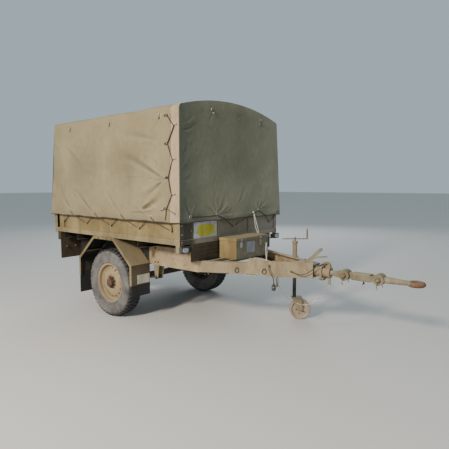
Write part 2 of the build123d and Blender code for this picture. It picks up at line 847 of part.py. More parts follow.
# Spring seats, clamp plates and U-bolt legs round the axle
clamp_foot = tyre_radius - axle_square / 2 - 10
with BuildPart() as spring_clamps:
    for name, side in sides:
        for z, thick in ((clamp_foot, 9.7), (spring_seat - 7.7, 7.4), (pack_top + 0.3, 12)):
            with BuildSketch(Plane.XY.offset(z)):
                with Locations((axle_x, side * spring_y)):
                    Rectangle(110, 96)
            extrude(amount=thick)
        with BuildSketch(Plane.XY.offset(clamp_foot - 14)):
            with Locations((axle_x, side * spring_y)):
                with GridLocations(84, 78, 2, 2):
                    Circle(7)
        extrude(amount=pack_top + 24 - clamp_foot + 14)
spring_clamps.part.label = "spring_clamps"
export_step(spring_clamps.part, "parts/spring_clamps.step")

# Wheels: each is a rim with its disc, a tyre, and a drum with its hub
for name, side in sides:
    centre = (axle_x, side * wheel_out, tyre_radius)
    wheel_plane = Plane(origin=centre, x_dir=(0, side, 0), z_dir=(side, 0, 0))
    wheel_axis = Axis(centre, (0, side, 0))
    face_plane = Plane(origin=centre, x_dir=(1, 0, 0), z_dir=(0, side, 0))

    with BuildPart() as rim:
        with BuildSketch(wheel_plane):
            Polygon(
                (-rim_half, flange_radius), (5 - rim_half, flange_radius), (8 - rim_half, seat_radius),
                (-40, seat_radius - 3), (-28, seat_radius - 21), (28, seat_radius - 21),
                (40, seat_radius - 3), (rim_half - 8, seat_radius), (rim_half - 5, flange_radius),
                (rim_half, flange_radius), (rim_half - 3, seat_radius - 5), (37, seat_radius - 9),
                (25, seat_radius - 26), (-25, seat_radius - 26), (-37, seat_radius - 9),
                (3 - rim_half, seat_radius - 5), align=None,
            )
            Polygon(
                (16, seat_radius - 23), (24, seat_radius - 23), (30, 172), (46, 142), (56, 105), (54, 84),
                (44, 72), (44, hub_radius), (38, hub_radius), (38, 76), (48, 88), (50, 105), (40, 139),
                (24, 168), align=None,
            )
        revolve(axis=wheel_axis)
        with BuildSketch(face_plane):
            with PolarLocations(disc_hole_circle, disc_holes):
                Circle(disc_hole_radius)
        extrude(amount=rim_half, mode=Mode.SUBTRACT)
    rim.part.label = f"rim_{name}"
    export_step(rim.part, f"parts/rim_{name}.step")

    with BuildPart() as tyre:
        with BuildSketch(wheel_plane):
            edge = tyre_width / 2
            foot = seat_radius + 0.5
            with BuildLine():
                Line((-64, foot), (-68, flange_radius + 2))
                ThreePointArc((-68, flange_radius + 2), (-edge, 292), (12 - edge, 352))
                ThreePointArc((12 - edge, 352), (17 - edge, 366), (28 - edge, 373))
                ThreePointArc((28 - edge, 373), (0, tyre_radius), (edge - 28, 373))
                ThreePointArc((edge - 28, 373), (edge - 17, 366), (edge - 12, 352))
                ThreePointArc((edge - 12, 352), (edge, 292), (68, flange_radius + 2))
                Line((68, flange_radius + 2), (64, foot))
                Line((64, foot), (-64, foot))
            make_face()
            with BuildLine():
                Line((-50, foot - 1), (-50, foot + 12))
                ThreePointArc((-50, foot + 12), (tyre_wall - edge, 292), (25 - edge, 345))
                ThreePointArc((25 - edge, 345), (0, tyre_radius - 20), (edge - 25, 345))
                ThreePointArc((edge - 25, 345), (edge - tyre_wall, 292), (50, foot + 12))
                Line((50, foot + 12), (50, foot - 1))
                Line((50, foot - 1), (-50, foot - 1))
            make_face(mode=Mode.SUBTRACT)
        revolve(axis=wheel_axis)
    tyre.part.label = f"tyre_{name}"
    export_step(tyre.part, f"parts/tyre_{name}.step")

    with BuildPart() as hub:
        with BuildSketch(wheel_plane):
            Polygon(
                (-66, drum_radius), (22, drum_radius), (37.5, 120), (37.5, hub_radius - 0.3),
                (84, hub_radius - 0.3), (94, 30), (94, 0), (40, 0), (40, spindle_radius + 0.05),
                (10, spindle_radius + 0.05), (10, drum_radius - drum_wall), (-66, drum_radius - drum_wall),
                align=None,
            )
        revolve(axis=wheel_axis)
    hub.part.label = f"hub_{name}"
    export_step(hub.part, f"parts/hub_{name}.step")


def guard_outline(depth):
    """The mudguard's folded outline in X and Z, depth millimetres inside its outer surface."""
    half = guard_half - depth
    knee = guard_knee_z - depth * 0.45
    top_half = guard_top_half - depth * 0.42
    Polygon(
        (guard_x - half, guard_foot_z), (guard_x - half, knee), (guard_x - top_half, guard_top_z - depth),
        (guard_x + top_half, guard_top_z - depth), (guard_x + half, knee), (guard_x + half, guard_foot_z),
        align=None, mode=Mode.ADD if depth == 0 else Mode.SUBTRACT,
    )


# Mudguards: folded sheet over each wheel with a flange along its outer edge
with BuildPart() as mudguards:
    for name, side in sides:
        for inner, outer, depth in ((guard_inner, guard_outer, guard_wall),
                                    (guard_outer - guard_wall, guard_outer, guard_lip)):
            with BuildSketch(Plane.XZ.offset(-side * (inner + outer) / 2)):
                guard_outline(0)
                guard_outline(depth)
            extrude(amount=(outer - inner) / 2, both=True)
mudguards.part.label = "mudguards"
export_step(mudguards.part, "parts/mudguards.step")

# Mud flaps under the mudguards: columns are the end of the mudguard and the flap's foot
with BuildPart() as mud_flaps:
    for name, side in sides:
        for end, foot in ((1, front_flap_foot), (-1, rear_flap_foot)):
            x = guard_x + end * (guard_half - guard_wall - flap_thick / 2)
            with BuildSketch(Plane.XY.offset(foot)):
                with Locations((x, side * (guard_inner + guard_outer - guard_wall - 2) / 2)):
                    Rectangle(flap_thick, guard_outer - guard_wall - 2 - guard_inner)
            extrude(amount=guard_foot_z + flap_overlap - foot)
mud_flaps.part.label = "mud_flaps"
export_step(mud_flaps.part, "parts/mud_flaps.step")

# Bare plates on the mudguards' front faces and on the front board
with BuildPart() as plates:
    with BuildSketch(Plane.YZ.offset(guard_x + guard_half)):
        for name, side in sides:
            with Locations((side * (guard_inner + 91), guard_foot_z + 60)):
                Rectangle(plate_width, plate_height)
    extrude(amount=plate_thick)
    with BuildSketch(Plane.YZ.offset(front_x - board_inset)):
        with Locations((-460, 1030)):
            Rectangle(350, 165)
    extrude(amount=plate_thick)
plates.part.label = "plates"
export_step(plates.part, "parts/plates.step")

# Mudguard stays from the chassis rails, under the slanted faces
stay_z = 700
stay_fold = (guard_half - guard_top_half) / (guard_top_z - guard_knee_z)
stay_gap = (stay_radius + guard_wall + 1) * hypot(1, stay_fold)
stay_out = guard_top_half + (guard_top_z - stay_z) * stay_fold - stay_gap
with BuildPart() as guard_stays:
    for name, side in sides:
        for end in (-1, 1):
            with BuildSketch(Plane.XZ.offset(-side * (chassis_half + guard_outer - 6) / 2)):
                with Locations((guard_x + end * stay_out, stay_z)):
                    Circle(stay_radius)
            extrude(amount=(guard_outer - 6 - chassis_half) / 2, both=True)
guard_stays.part.label = "guard_stays"
export_step(guard_stays.part, "parts/guard_stays.step")

# Light boards under the rear corners with their brackets
board_x = front_x - chassis_length - 35
with BuildPart() as light_boards:
    for name, side in sides:
        with BuildSketch(Plane.YZ.offset(board_x - 4)):
            with Locations((side * (half_width - 150), 725)):
                Rectangle(300, 336)
        extrude(amount=4)
        with BuildSketch(Plane.XY.offset(790)):
            with Locations((board_x - 4 - 35, side * (half_width - 10))):
                Rectangle(70, 6)
        extrude(amount=rail_bottom - 790)
light_boards.part.label = "light_boards"
export_step(light_boards.part, "parts/light_boards.step")

# Rear lamps: round housings on the light boards
with BuildPart() as rear_lamps:
    for name, side in sides:
        with BuildSketch(Plane.YZ.offset(board_x - 4)):
            with Locations((side * (half_width - 80), 700), (side * (half_width - 200), 700)):
                Circle(45)
        extrude(amount=-38)
        fillet(rear_lamps.faces().sort_by(Axis.X)[0].edges(), 8)
rear_lamps.part.label = "rear_lamps"
export_step(rear_lamps.part, "parts/rear_lamps.step")

# Front position lamps under the front corners
with BuildPart() as front_lamps:
    for name, side in sides:
        with BuildSketch(Plane.YZ.offset(front_x)):
            with Locations((side * (half_width - post_width / 2 - 12), 855)):
                RectangleRounded(100, 62, 12)
        extrude(amount=36)
front_lamps.part.label = "front_lamps"
export_step(front_lamps.part, "parts/front_lamps.step")

# Toolbox on the A-frame: an open sheet box with hinge lugs and pins on its back
box_x = front_x + box_back + box_depth / 2
box_top = box_foot + box_height
lid_pin_x = front_x + box_back - lid_hinge
with BuildPart() as toolbox:
    with BuildSketch(Plane.XY.offset(box_foot)):
        with Locations((box_x, 0)):
            Rectangle(box_depth, 2 * box_half)
    extrude(amount=box_height)
    with BuildSketch(Plane.XY.offset(box_foot + sheet)):
        with Locations((box_x, 0)):
            Rectangle(box_depth - 2 * sheet, 2 * box_half - 2 * sheet)
    extrude(amount=box_height, mode=Mode.SUBTRACT)
    for name, side in sides:
        with BuildSketch(Plane.XZ.offset(-side * hinge_place - hinge_reach)):
            with Locations((lid_pin_x, box_top)):
                Circle(pin_size)
        extrude(amount=2 * hinge_reach)
        for start in (-hinge_reach, knuckle_reach + 1):
            with BuildSketch(Plane.XZ.offset(-side * hinge_place + start)):
                with Locations((lid_pin_x, box_top)):
                    Circle(lid_clear - 0.5)
                with Locations((lid_pin_x + lid_hinge / 2, box_top - 2)):
                    Rectangle(lid_hinge, 4)
            extrude(amount=hinge_reach - knuckle_reach - 1)
toolbox.part.label = "toolbox"
export_step(toolbox.part, "parts/toolbox.step")

# Angle bearers across the beams under the toolbox
with BuildPart() as toolbox_bearers:
    for x in bearer_places:
        reach = chassis_half - (x + 20) * frame_slope - 8
        with BuildSketch(Plane.XY.offset(beam_top)):
            with Locations((front_x + x, 0)):
                Rectangle(40, 2 * reach)
        extrude(amount=box_foot - beam_top)
        with BuildSketch(Plane.XY.offset(beam_top - 28)):
            with Locations((front_x + x - 18, 0)):
                Rectangle(4, 2 * (reach - beam_flange - 18))
        extrude(amount=28)
toolbox_bearers.part.label = "toolbox_bearers"
export_step(toolbox_bearers.part, "parts/toolbox_bearers.step")

# Toolbox lid: a plate with skirts on three sides and knuckles over the pins
lid_under = box_top + lid_clear
lid_top = lid_under + sheet
lid_front = box_depth + lid_hinge + lid_clear + sheet
lid_half = box_half + lid_clear + sheet
with BuildPart() as toolbox_lid:
    with BuildSketch(Plane.XY.offset(lid_under)):
        with Locations((lid_pin_x + lid_front / 2, 0)):
            Rectangle(lid_front, 2 * lid_half)
    extrude(amount=sheet)
    with BuildSketch(Plane.XY.offset(lid_top - lid_height)):
        with Locations((lid_pin_x + lid_hinge + (lid_front - lid_hinge) / 2, 0)):
            Rectangle(lid_front - lid_hinge, 2 * lid_half)
        with Locations((lid_pin_x + (lid_front - sheet) / 2, 0)):
            Rectangle(lid_front - sheet, 2 * lid_half - 2 * sheet, mode=Mode.SUBTRACT)
    extrude(amount=lid_height)
    for name, side in sides:
        with BuildSketch(Plane.XZ.offset(-side * hinge_place - knuckle_reach)):
            with Locations((lid_pin_x, box_top)):
                Circle(lid_hinge - 0.5)
            with Locations((lid_pin_x, (box_top + lid_under) / 2)):
                Rectangle(2 * lid_hinge - 1, lid_under - box_top)
            with Locations((lid_pin_x, box_top)):
                Circle(pin_size + 0.1, mode=Mode.SUBTRACT)
        extrude(amount=2 * knuckle_reach)
toolbox_lid.part.label = "toolbox_lid"
export_step(toolbox_lid.part, "parts/toolbox_lid.step")

# Handbrake lever and the reversing lever on one bracket on the upper gusset
gusset_top = beam_top + gusset_thick
lever_mid = (front_x + 1002, gusset_top + 90)
grip_mid = (front_x + 1042, gusset_top + 125)
with BuildPart() as handbrake_lever:
    with BuildSketch(Plane.XZ.offset(lever_y)):
        Polygon((front_x + 900, gusset_top), (front_x + 945, gusset_top), (front_x + 938, gusset_top + 36),
                (front_x + 912, gusset_top + 36), align=None)
    extrude(amount=6)
    with BuildSketch(Plane.XZ.offset(lever_y - 6)):
        with Locations((front_x + 925, gusset_top + 22)):
            Circle(14)
        with Locations(Location(lever_mid, lever_angle)):
            SlotOverall(lever_length, 20)
    extrude(amount=6)
    with BuildSketch(Plane.XZ.offset(lever_y - 9)):
        with Locations(Location(grip_mid, lever_angle)):
            SlotOverall(110, 28)
    extrude(amount=12)
    with BuildSketch(Plane.XZ.offset(lever_y + 6)):
        Polygon((front_x + 922, gusset_top + 14), (front_x + 936, gusset_top + 10),
                (front_x + 1032, gusset_top + 70), (front_x + 1140, gusset_top + 86),
                (front_x + 1140, gusset_top + 100), (front_x + 1026, gusset_top + 84),
                (front_x + 922, gusset_top + 28), align=None)
    extrude(amount=8)
handbrake_lever.part.label = "handbrake_lever"
export_step(handbrake_lever.part, "parts/handbrake_lever.step")

# Jockey wheel: clamp and outer tube on the left beam
stem_at = (front_x + jockey_x, jockey_y)
with BuildPart() as jockey_clamp:
    with BuildSketch(Plane.XY.offset(jockey_tube_foot)):
        with Locations(stem_at):
            Circle(jockey_tube)
            Circle(jockey_stem + stem_clear, mode=Mode.SUBTRACT)
    extrude(amount=jockey_tube_top - 12 - jockey_tube_foot)
    with BuildSketch(Plane.XY.offset(jockey_tube_top - 12)):
        with Locations(stem_at):
            Circle(34)
    extrude(amount=12)
    with BuildSketch(Plane.XY.offset(beam_bottom + 12)):
        near_y, far_y = [chassis_half - (jockey_x + reach) * frame_slope + 2 for reach in (-23, 23)]
        Polygon((stem_at[0] - 23, near_y), (stem_at[0] + 23, far_y), (stem_at[0] + 23, jockey_y),
                (stem_at[0] - 23, jockey_y), align=None)
        with Locations(stem_at):
            Circle(37)
            Circle(jockey_tube - 1, mode=Mode.SUBTRACT)
    extrude(amount=beam_height - 24)
    with BuildSketch(Plane.XY.offset(beam_bottom)):
        frame_strip(1, jockey_x - 60, jockey_x + 60, -8, -0.2)
    extrude(amount=beam_height)
jockey_clamp.part.label = "jockey_clamp"
export_step(jockey_clamp.part, "parts/jockey_clamp.step")

# Crank on top of the jockey tube with its upright grip
trail_dir = (cos(radians(jockey_angle)), sin(radians(jockey_angle)), 0)
spin_dir = (-sin(radians(jockey_angle)), cos(radians(jockey_angle)), 0)
crank_plane = Plane(origin=(*stem_at, jockey_tube_top), x_dir=trail_dir, z_dir=(0, 0, 1))
with BuildPart() as jockey_crank:
    with BuildSketch(crank_plane):
        Circle(10)
    extrude(amount=30)
    with BuildSketch(crank_plane.offset(18)):
        SlotOverall(280, 16)
    extrude(amount=12)
    with BuildSketch(crank_plane.offset(18)):
        with Locations((132, 0)):
            Circle(9)
    extrude(amount=115)
jockey_crank.part.label = "jockey_crank"
export_step(jockey_crank.part, "parts/jockey_crank.step")

# Jockey stem that winds up inside the tube
with BuildPart() as jockey_leg:
    with BuildSketch(Plane.XY.offset(crown_z + crown_thick + 0.3)):
        with Locations(stem_at):
            Circle(jockey_stem)
    extrude(amount=jockey_stem_top - crown_z - crown_thick - 0.3)
jockey_leg.part.label = "jockey_leg"
export_step(jockey_leg.part, "parts/jockey_leg.step")

# Fork that swivels under the stem and trails the wheel
fork_plane = Plane(origin=(*stem_at, 0), x_dir=trail_dir, z_dir=(0, 0, 1))
fork_side = Plane(origin=(*stem_at, 0), x_dir=trail_dir, z_dir=(-spin_dir[0], -spin_dir[1], 0))
fork_half = jockey_width / 2 + fork_gap
with BuildPart() as jockey_fork:
    with BuildSketch(fork_plane.offset(crown_z)):
        with Locations((jockey_trail / 2 - 6, 0)):
            Rectangle(jockey_trail + 44, 2 * (fork_half + fork_thick))
    extrude(amount=crown_thick)
    for cheek in (-1, 1):
        with BuildSketch(fork_side.offset(cheek * (fork_half + fork_thick / 2) - fork_thick / 2)):
            Polygon(
                (-28, crown_z + 1), (jockey_trail + 16, crown_z + 1),
                (jockey_trail + fork_width / 2, jockey_radius),
                (jockey_trail - fork_width / 2, jockey_radius), align=None,
            )
            with Locations((jockey_trail, jockey_radius)):
                Circle(fork_width / 2)
        extrude(amount=fork_thick)
    with BuildSketch(fork_side.offset(-fork_half - fork_thick - 8)):
        with Locations((jockey_trail, jockey_radius)):
            Circle(jockey_axle)
    extrude(amount=2 * (fork_half + fork_thick + 8))
jockey_fork.part.label = "jockey_fork"
export_step(jockey_fork.part, "parts/jockey_fork.step")

# Pressed steel jockey wheel
trail_x = stem_at[0] + jockey_trail * cos(radians(jockey_angle))
trail_y = stem_at[1] + jockey_trail * sin(radians(jockey_angle))
roll_plane = Plane(origin=(trail_x, trail_y, jockey_radius), x_dir=spin_dir, z_dir=trail_dir)
with BuildPart() as jockey_wheel:
    with BuildSketch(roll_plane):
        half = jockey_width / 2
        with BuildLine():
            Polyline(
                (-half, jockey_axle + 0.1), (-half, 24), (-10, 30), (-10, 88), (-half, 98), (-half, 108),
                (-18, jockey_radius), (18, jockey_radius), (half, 108), (half, 98), (10, 88), (10, 30),
                (half, 24), (half, jockey_axle + 0.1), (-half, jockey_axle + 0.1),
            )
        make_face()
    revolve(axis=Axis((trail_x, trail_y, jockey_radius), spin_dir))
jockey_wheel.part.label = "jockey_wheel"
export_step(jockey_wheel.part, "parts/jockey_wheel.step")


def cord(points, radius, name):
    """A round cord through points of the trailer, its corners rounded by tangent arcs."""
    places = [Vector(front_x + x, y, z) for x, y, z in points]
    bends = []
    for before, here, after in zip(places, places[1:], places[2:]):
        turn = (here - before).get_angle(after - here)
        bends.append(0.45 * min((here - before).length, (after - here).length) / tan(radians(turn / 2)))
    with BuildPart() as tube:
        with BuildLine() as route:
            FilletPolyline(*places, radius=bends)
        with BuildSketch(Plane(origin=places[0], z_dir=places[1] - places[0])):
            Circle(radius)
        sweep(path=route.wire())
    tube.part.label = name
    export_step(tube.part, f"parts/{name}.step")
    length = route.wire().length
    share = tube.part.volume / (pi * radius ** 2 * length)
    print(name, "length", round(length, 1), "volume as a share of section by length", round(share, 4))
    print(name, "bend radii", [round(bend, 1) for bend in bends])


# Glands on the right beam's outer face: columns are the place along the trailer, the height and the way
# the mouth leans
gland_table = (
    (lead_x, lead_z, Vector(0, 0, -1)),
    (brake_x, brake_z, forward),
)
glands = []
for x, z, lean in gland_table:
    base = Vector(x, x * frame_slope - chassis_half, z)
    glands.append((base, (outward + lean).normalized()))

# Electrical lead from the right beam down to its parked plug: columns are how far each run goes outward,
# forward and down
lead_table = (
    (14.1, 0, 14.1),
    (9.3, 5.5, 19.2),
    (2.0, 16.3, 29.8),
    (-1.6, 20.0, 34.6),
    (0, 7.6, 37.2),
    (0, 0, 24),
)
base, lean = glands[0]
lead_points = [base + outward * gland_foot + lean * gland_reach]
for out, ahead, drop in lead_table:
    lead_points.append(lead_points[-1] + outward * out + forward * ahead - Vector(0, 0, drop))
cord([tuple(place) for place in lead_points], lead_radius, "electrical_lead")

# Plug on the end of the lead
plug_x, plug_y, plug_z = tuple(lead_points[-1])
plug_steps = ((plug_radius - 6, 0, 14), (plug_radius, 14, plug_length), (plug_radius + 3, 40, 48))
with BuildPart() as lead_plug:
    for radius, start, end in plug_steps:
        with BuildSketch(Plane.XY.offset(plug_z - 0.3 - end)):
            with Locations((front_x + plug_x, plug_y)):
                Circle(radius)
        extrude(amount=end - start)
lead_plug.part.label = "lead_plug"
export_step(lead_plug.part, "parts/lead_plug.step")

# Safety cable: a catenary from the right beam to the lug under the collar
cable_points = []
cable_ends = (cable_start, cable_end)
half_spans = [cable_curve * acosh(1 + (end[2] - cable_low) / cable_curve) for end in cable_ends]
first_arc, last_arc = [cable_curve * sinh(span / cable_curve) for span in half_spans]
for step in range(cable_runs + 1):
    arc = -first_arc + (first_arc + last_arc) * step / cable_runs
    along = cable_curve * asinh(arc / cable_curve)
    share = (along + half_spans[0]) / sum(half_spans)
    cable_points.append((
        cable_start[0] + share * (cable_end[0] - cable_start[0]),
        cable_start[1] + share * (cable_end[1] - cable_start[1]),
        cable_low + cable_curve * (cosh(along / cable_curve) - 1),
    ))
cord(cable_points, cable_radius, "safety_cable")

# Brake cable from the right beam up to the lug on the overrun housing. Columns beside the beam are the
# place along the trailer, the gap to the beam's face and the height; columns past the beam are the place,
# the share of the way across that is left to the lug, and the height
beside_table = (
    (850, 31.7136, 651),
    (878, 43.5344, 642),
    (903, 43.6184, 632),
    (933, 43.2855, 635),
    (962, 43.9961, 648),
    (990, 42.0335, 669),
)
past_table = (
    (1016, 0.825879, 693),
    (1042, 0.638978, 716),
    (1070, 0.412141, 734),
    (1094, 0.185304, 741),
    (1110, 0, 741),
)
base, lean = glands[1]
brake_points = [tuple(base + outward * gland_foot + lean * gland_reach)]
for x, gap, z in beside_table:
    brake_points.append((x, x * frame_slope - chassis_half - gap, z))
last_gap = brake_points[-1][1] - brake_stop[1]
for x, share, z in past_table:
    brake_points.append((x, brake_stop[1] + last_gap * share, z))
cord(brake_points, brake_radius, "brake_cable")

# Fittings that hold the cords: two glands on the beam, an eye plate and the plug's holder under it, and a
# stop on the lug
with BuildPart() as cable_fittings:
    for base, lean in glands:
        foot = base + Vector(front_x, 0, 0)
        with BuildSketch(Plane(origin=foot, z_dir=outward)):
            Circle(11)
        extrude(amount=gland_foot + 1)
        with BuildSketch(Plane(origin=foot + outward * gland_foot, z_dir=lean)):
            Circle(8)
        extrude(amount=gland_reach - 2)
    with BuildSketch(Plane.XY.offset(cable_start[2] + 2)):
        with Locations((front_x + cable_start[0], cable_start[1])):
            Rectangle(30, 12)
    extrude(amount=beam_bottom - cable_start[2] - 2)
    with BuildSketch(Plane.XY.offset(holder_z)):
        with Locations((front_x + plug_x, holder_y)):
            Rectangle(24, 5)
    extrude(amount=beam_bottom - holder_z)
    with BuildSketch(Plane.XY.offset(holder_z)):
        with Locations((front_x + plug_x, (plug_y + holder_y) / 2)):
            Rectangle(24, holder_y - plug_y)
        with Locations((front_x + plug_x, plug_y)):
            Circle(plug_radius + 7)
            Circle(plug_radius + 0.4, mode=Mode.SUBTRACT)
    extrude(amount=6)
    with BuildSketch(Plane.XZ.offset(lug_thick / 2)):
        with Locations((front_x + brake_stop[0], brake_stop[2])):
            Circle(8)
    extrude(amount=4)
cable_fittings.part.label = "cable_fittings"
export_step(cable_fittings.part, "parts/cable_fittings.step")
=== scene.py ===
import json
from math import acosh, asin, asinh, cos, cosh, hypot, pi, radians, sin, sinh, sqrt

import bmesh
import bpy
import numpy as np
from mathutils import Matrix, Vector


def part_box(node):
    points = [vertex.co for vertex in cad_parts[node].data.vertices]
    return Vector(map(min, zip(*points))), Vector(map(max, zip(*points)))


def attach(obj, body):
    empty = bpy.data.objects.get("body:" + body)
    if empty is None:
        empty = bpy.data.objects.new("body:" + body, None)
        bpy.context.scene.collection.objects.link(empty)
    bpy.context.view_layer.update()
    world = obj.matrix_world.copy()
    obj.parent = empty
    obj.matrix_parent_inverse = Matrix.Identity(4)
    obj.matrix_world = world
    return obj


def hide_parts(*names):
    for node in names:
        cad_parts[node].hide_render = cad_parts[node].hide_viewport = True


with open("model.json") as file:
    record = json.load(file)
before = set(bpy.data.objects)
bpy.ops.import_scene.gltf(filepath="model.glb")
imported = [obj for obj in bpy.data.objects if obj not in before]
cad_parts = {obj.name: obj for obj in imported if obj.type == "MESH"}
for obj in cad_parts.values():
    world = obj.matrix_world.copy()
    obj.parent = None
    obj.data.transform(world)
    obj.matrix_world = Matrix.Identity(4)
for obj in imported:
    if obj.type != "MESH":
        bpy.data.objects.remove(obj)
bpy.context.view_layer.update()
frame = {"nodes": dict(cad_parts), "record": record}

# Metres. The tables measure x from the front face of the body, forwards positive.
FRONT = 0.1495
SIDES = (("right", -1), ("left", 1))
link = bpy.context.scene.collection.objects.link


def at(x, y, z):
    """A place measured from the front of the body, in the row frame."""
    return Vector((FRONT + x, y, z))


# ---------------------------------------------------------------- camera
YAW, PITCH = radians(50.56), radians(4.95)
sight = Vector((-cos(YAW) * cos(PITCH), sin(YAW) * cos(PITCH), -sin(PITCH)))
camera = bpy.data.objects.new("camera", bpy.data.cameras.new("camera"))
link(camera)
camera.location = (3.0355, -3.681, 1.4645)
camera.rotation_euler = sight.to_track_quat("-Z", "Y").to_euler()
camera.data.lens = 34.45
camera.data.sensor_width = 36
camera.data.shift_y = -0.0029
camera.data.clip_end = 400
bpy.context.scene.camera = camera


# ---------------------------------------------------------------- materials
LOOKS = {}


class Look:
    """A material being made: its node tree, its shader and short ways to add nodes."""

    def __init__(self, name):
        self.name = name
        self.made = bpy.data.materials.new(name)
        self.made.use_nodes = True
        self.tree = self.made.node_tree
        self.shader = self.tree.nodes["Principled BSDF"]
        self.place = self.node("TexCoord").outputs["Object"]

    def node(self, kind, inputs=(), **settings):
        """A shader node with its settings, its inputs linked or set."""
        made = self.tree.nodes.new("ShaderNode" + kind)
        for key, value in settings.items():
            setattr(made, key, value)
        for socket, value in dict(inputs).items():
            if isinstance(value, bpy.types.NodeSocket):
                self.tree.links.new(value, made.inputs[socket])
            else:
                made.inputs[socket].default_value = value
        return made

    def mixed(self, factor, first, second, blend="MIX"):
        """Two colours mixed."""
        pair = [c if isinstance(c, bpy.types.NodeSocket) else (*c, 1) for c in (first, second)]
        inputs = {0: factor, 6: pair[0], 7: pair[1]}
        return self.node("Mix", inputs, data_type="RGBA", blend_type=blend).outputs[2]

    def ranged(self, value, low, high, to_low=0.0, to_high=1.0):
        """A value spread from low and high to a new range and kept within it."""
        return self.node("MapRange", {0: value, 1: low, 2: high, 3: to_low, 4: to_high}).outputs[0]

    def math(self, kind, first, second=0.0):
        """One sum of two values."""
        return self.node("Math", {0: first, 1: second}, operation=kind).outputs[0]

    def times(self, first, second):
        return self.math("MULTIPLY", first, second)

    def plus(self, first, second):
        return self.math("ADD", first, second)

    def axis(self, vector, index):
        """One of a vector's three numbers."""
        return self.node("SeparateXYZ", {0: vector}).outputs[index]

    def facing(self):
        return self.node("NewGeometry").outputs["Normal"]

    def clouds(self, scale, detail, rough=0.55, bend=0.0, place=None, stretch=None):
        """Smooth noise from 0 to 1."""
        place = place or self.place
        if stretch:
            place = self.node("Mapping", {0: place, 3: stretch}).outputs[0]
        inputs = {"Vector": place, "Scale": scale, "Detail": detail, "Roughness": rough,
                  "Distortion": bend}
        return self.node("TexNoise", inputs).outputs[0]

    def bumped(self, height, strength, distance, normal=None):
        """A normal raised by a height."""
        inputs = {"Height": height, "Strength": strength, "Distance": distance}
        if normal:
            inputs["Normal"] = normal
        return self.node("Bump", inputs).outputs[0]

    def finish(self, colour, rough, bump, numbers):
        """Links the shader's textures, sets its plain numbers and keeps the material."""
        for socket, value in (("Base Color", colour), ("Roughness", rough), ("Normal", bump)):
            self.tree.links.new(value, self.shader.inputs[socket])
        for socket, value in numbers.items():
            self.shader.inputs[socket].default_value = value
        LOOKS[self.name] = self.made


def shade(colour, share):
    """A colour made darker or lighter."""
    return [c * share for c in colour]


def paint(name, base, dust, worn, dusty, chipped, rough=0.62, edge=0.0022, tint=None):
    """Brushed matt paint: dust on what faces up, rain streaks, dents and edges worn through."""
    m = Look(name)
    facing = m.facing()
    up, height = m.axis(facing, 2), m.axis(m.place, 2)
    broad, fine, speck = m.clouds(2.6, 4, 0.6), m.clouds(45, 5, 0.7), m.clouds(210, 3, 0.6)
    streak = m.clouds(1, 3, 0.6, stretch=(30, 30, 2.2))
    colour = m.mixed(m.ranged(broad, 0.36, 0.66), shade(base, 0.82), shade(base, 1.12))
    colour = m.mixed(m.ranged(fine, 0.42, 0.72, 0, 0.45), colour, shade(base, 0.72))
    colour = m.mixed(m.ranged(streak, 0.52, 0.75, 0, 0.4 * dusty), colour, dust)
    grime = m.ranged(m.clouds(5.5, 6, 0.72, 0.5, stretch=(1, 1, 0.45)), 0.43, 0.62, 0, 0.68)
    colour = m.mixed(grime, colour, [base[0] * 0.52, base[1] * 0.47, base[2] * 0.42])
    if tint:
        colour = tint(m, colour)
    top = m.times(m.ranged(up, 0.15, 0.95), m.ranged(fine, 0.28, 0.62, 0.45, 1))
    low = m.times(m.ranged(height, 0.75, 0.15), m.ranged(broad, 0.35, 0.65, 0.2, 1))
    colour = m.mixed(m.times(top, dusty), colour, dust)
    colour = m.mixed(m.times(low, dusty * 0.8), colour, dust)
    bevel = m.node("Bevel", {"Radius": edge}, samples=4).outputs[0]
    turned = m.node("VectorMath", {0: bevel, 1: facing}, operation="DOT_PRODUCT").outputs["Value"]
    rub = m.ranged(m.plus(fine, m.times(speck, 0.4)), 0.66, 0.82)
    wear = m.times(m.ranged(turned, 0.985, 0.86), m.ranged(rub, 0, 1, 0.25, 1))
    spots = m.ranged(m.plus(m.clouds(17, 6, 0.75), m.times(speck, 0.12)), 0.75, 0.79)
    wear = m.math("MAXIMUM", wear, m.times(spots, 0.8))
    colour = m.mixed(m.times(wear, chipped), colour, worn)
    gloss = m.plus(m.ranged(fine, 0.3, 0.7, rough - 0.1, rough + 0.14), m.times(top, 0.12))
    bump = m.bumped(speck, 0.22, 0.0006, bevel)
    bump = m.bumped(m.clouds(9, 2), 0.35, 0.006, bump)
    bump = m.bumped(m.math("SUBTRACT", 1.0, wear), 0.25, 0.0006, bump)
    m.finish(colour, gloss, bump, {"Specular IOR Level": 0.3})


def metal(name, base, dark, rough, amount, scale=60, rust=None):
    """Bare or worn metal, streaked and stained."""
    m = Look(name)
    broad, fine = m.clouds(12, 5, 0.65), m.clouds(scale * 4, 5, 0.7)
    colour = m.mixed(m.ranged(broad, 0.35, 0.7), base, dark)
    colour = m.mixed(m.ranged(fine, 0.45, 0.7, 0, 0.5), colour, shade(dark, 0.6))
    if rust:
        spots = m.ranged(m.clouds(38, 6, 0.75), 0.5, 0.62)
        colour = m.mixed(m.times(spots, 0.85), colour, rust)
    gloss = m.ranged(fine, 0.3, 0.7, rough - 0.12, rough + 0.2)
    bump = m.bumped(m.clouds(scale, 4, 0.6), 0.3, 0.0012, m.bumped(fine, 0.3, 0.0006))
    m.finish(colour, gloss, bump, {"Metallic": amount})


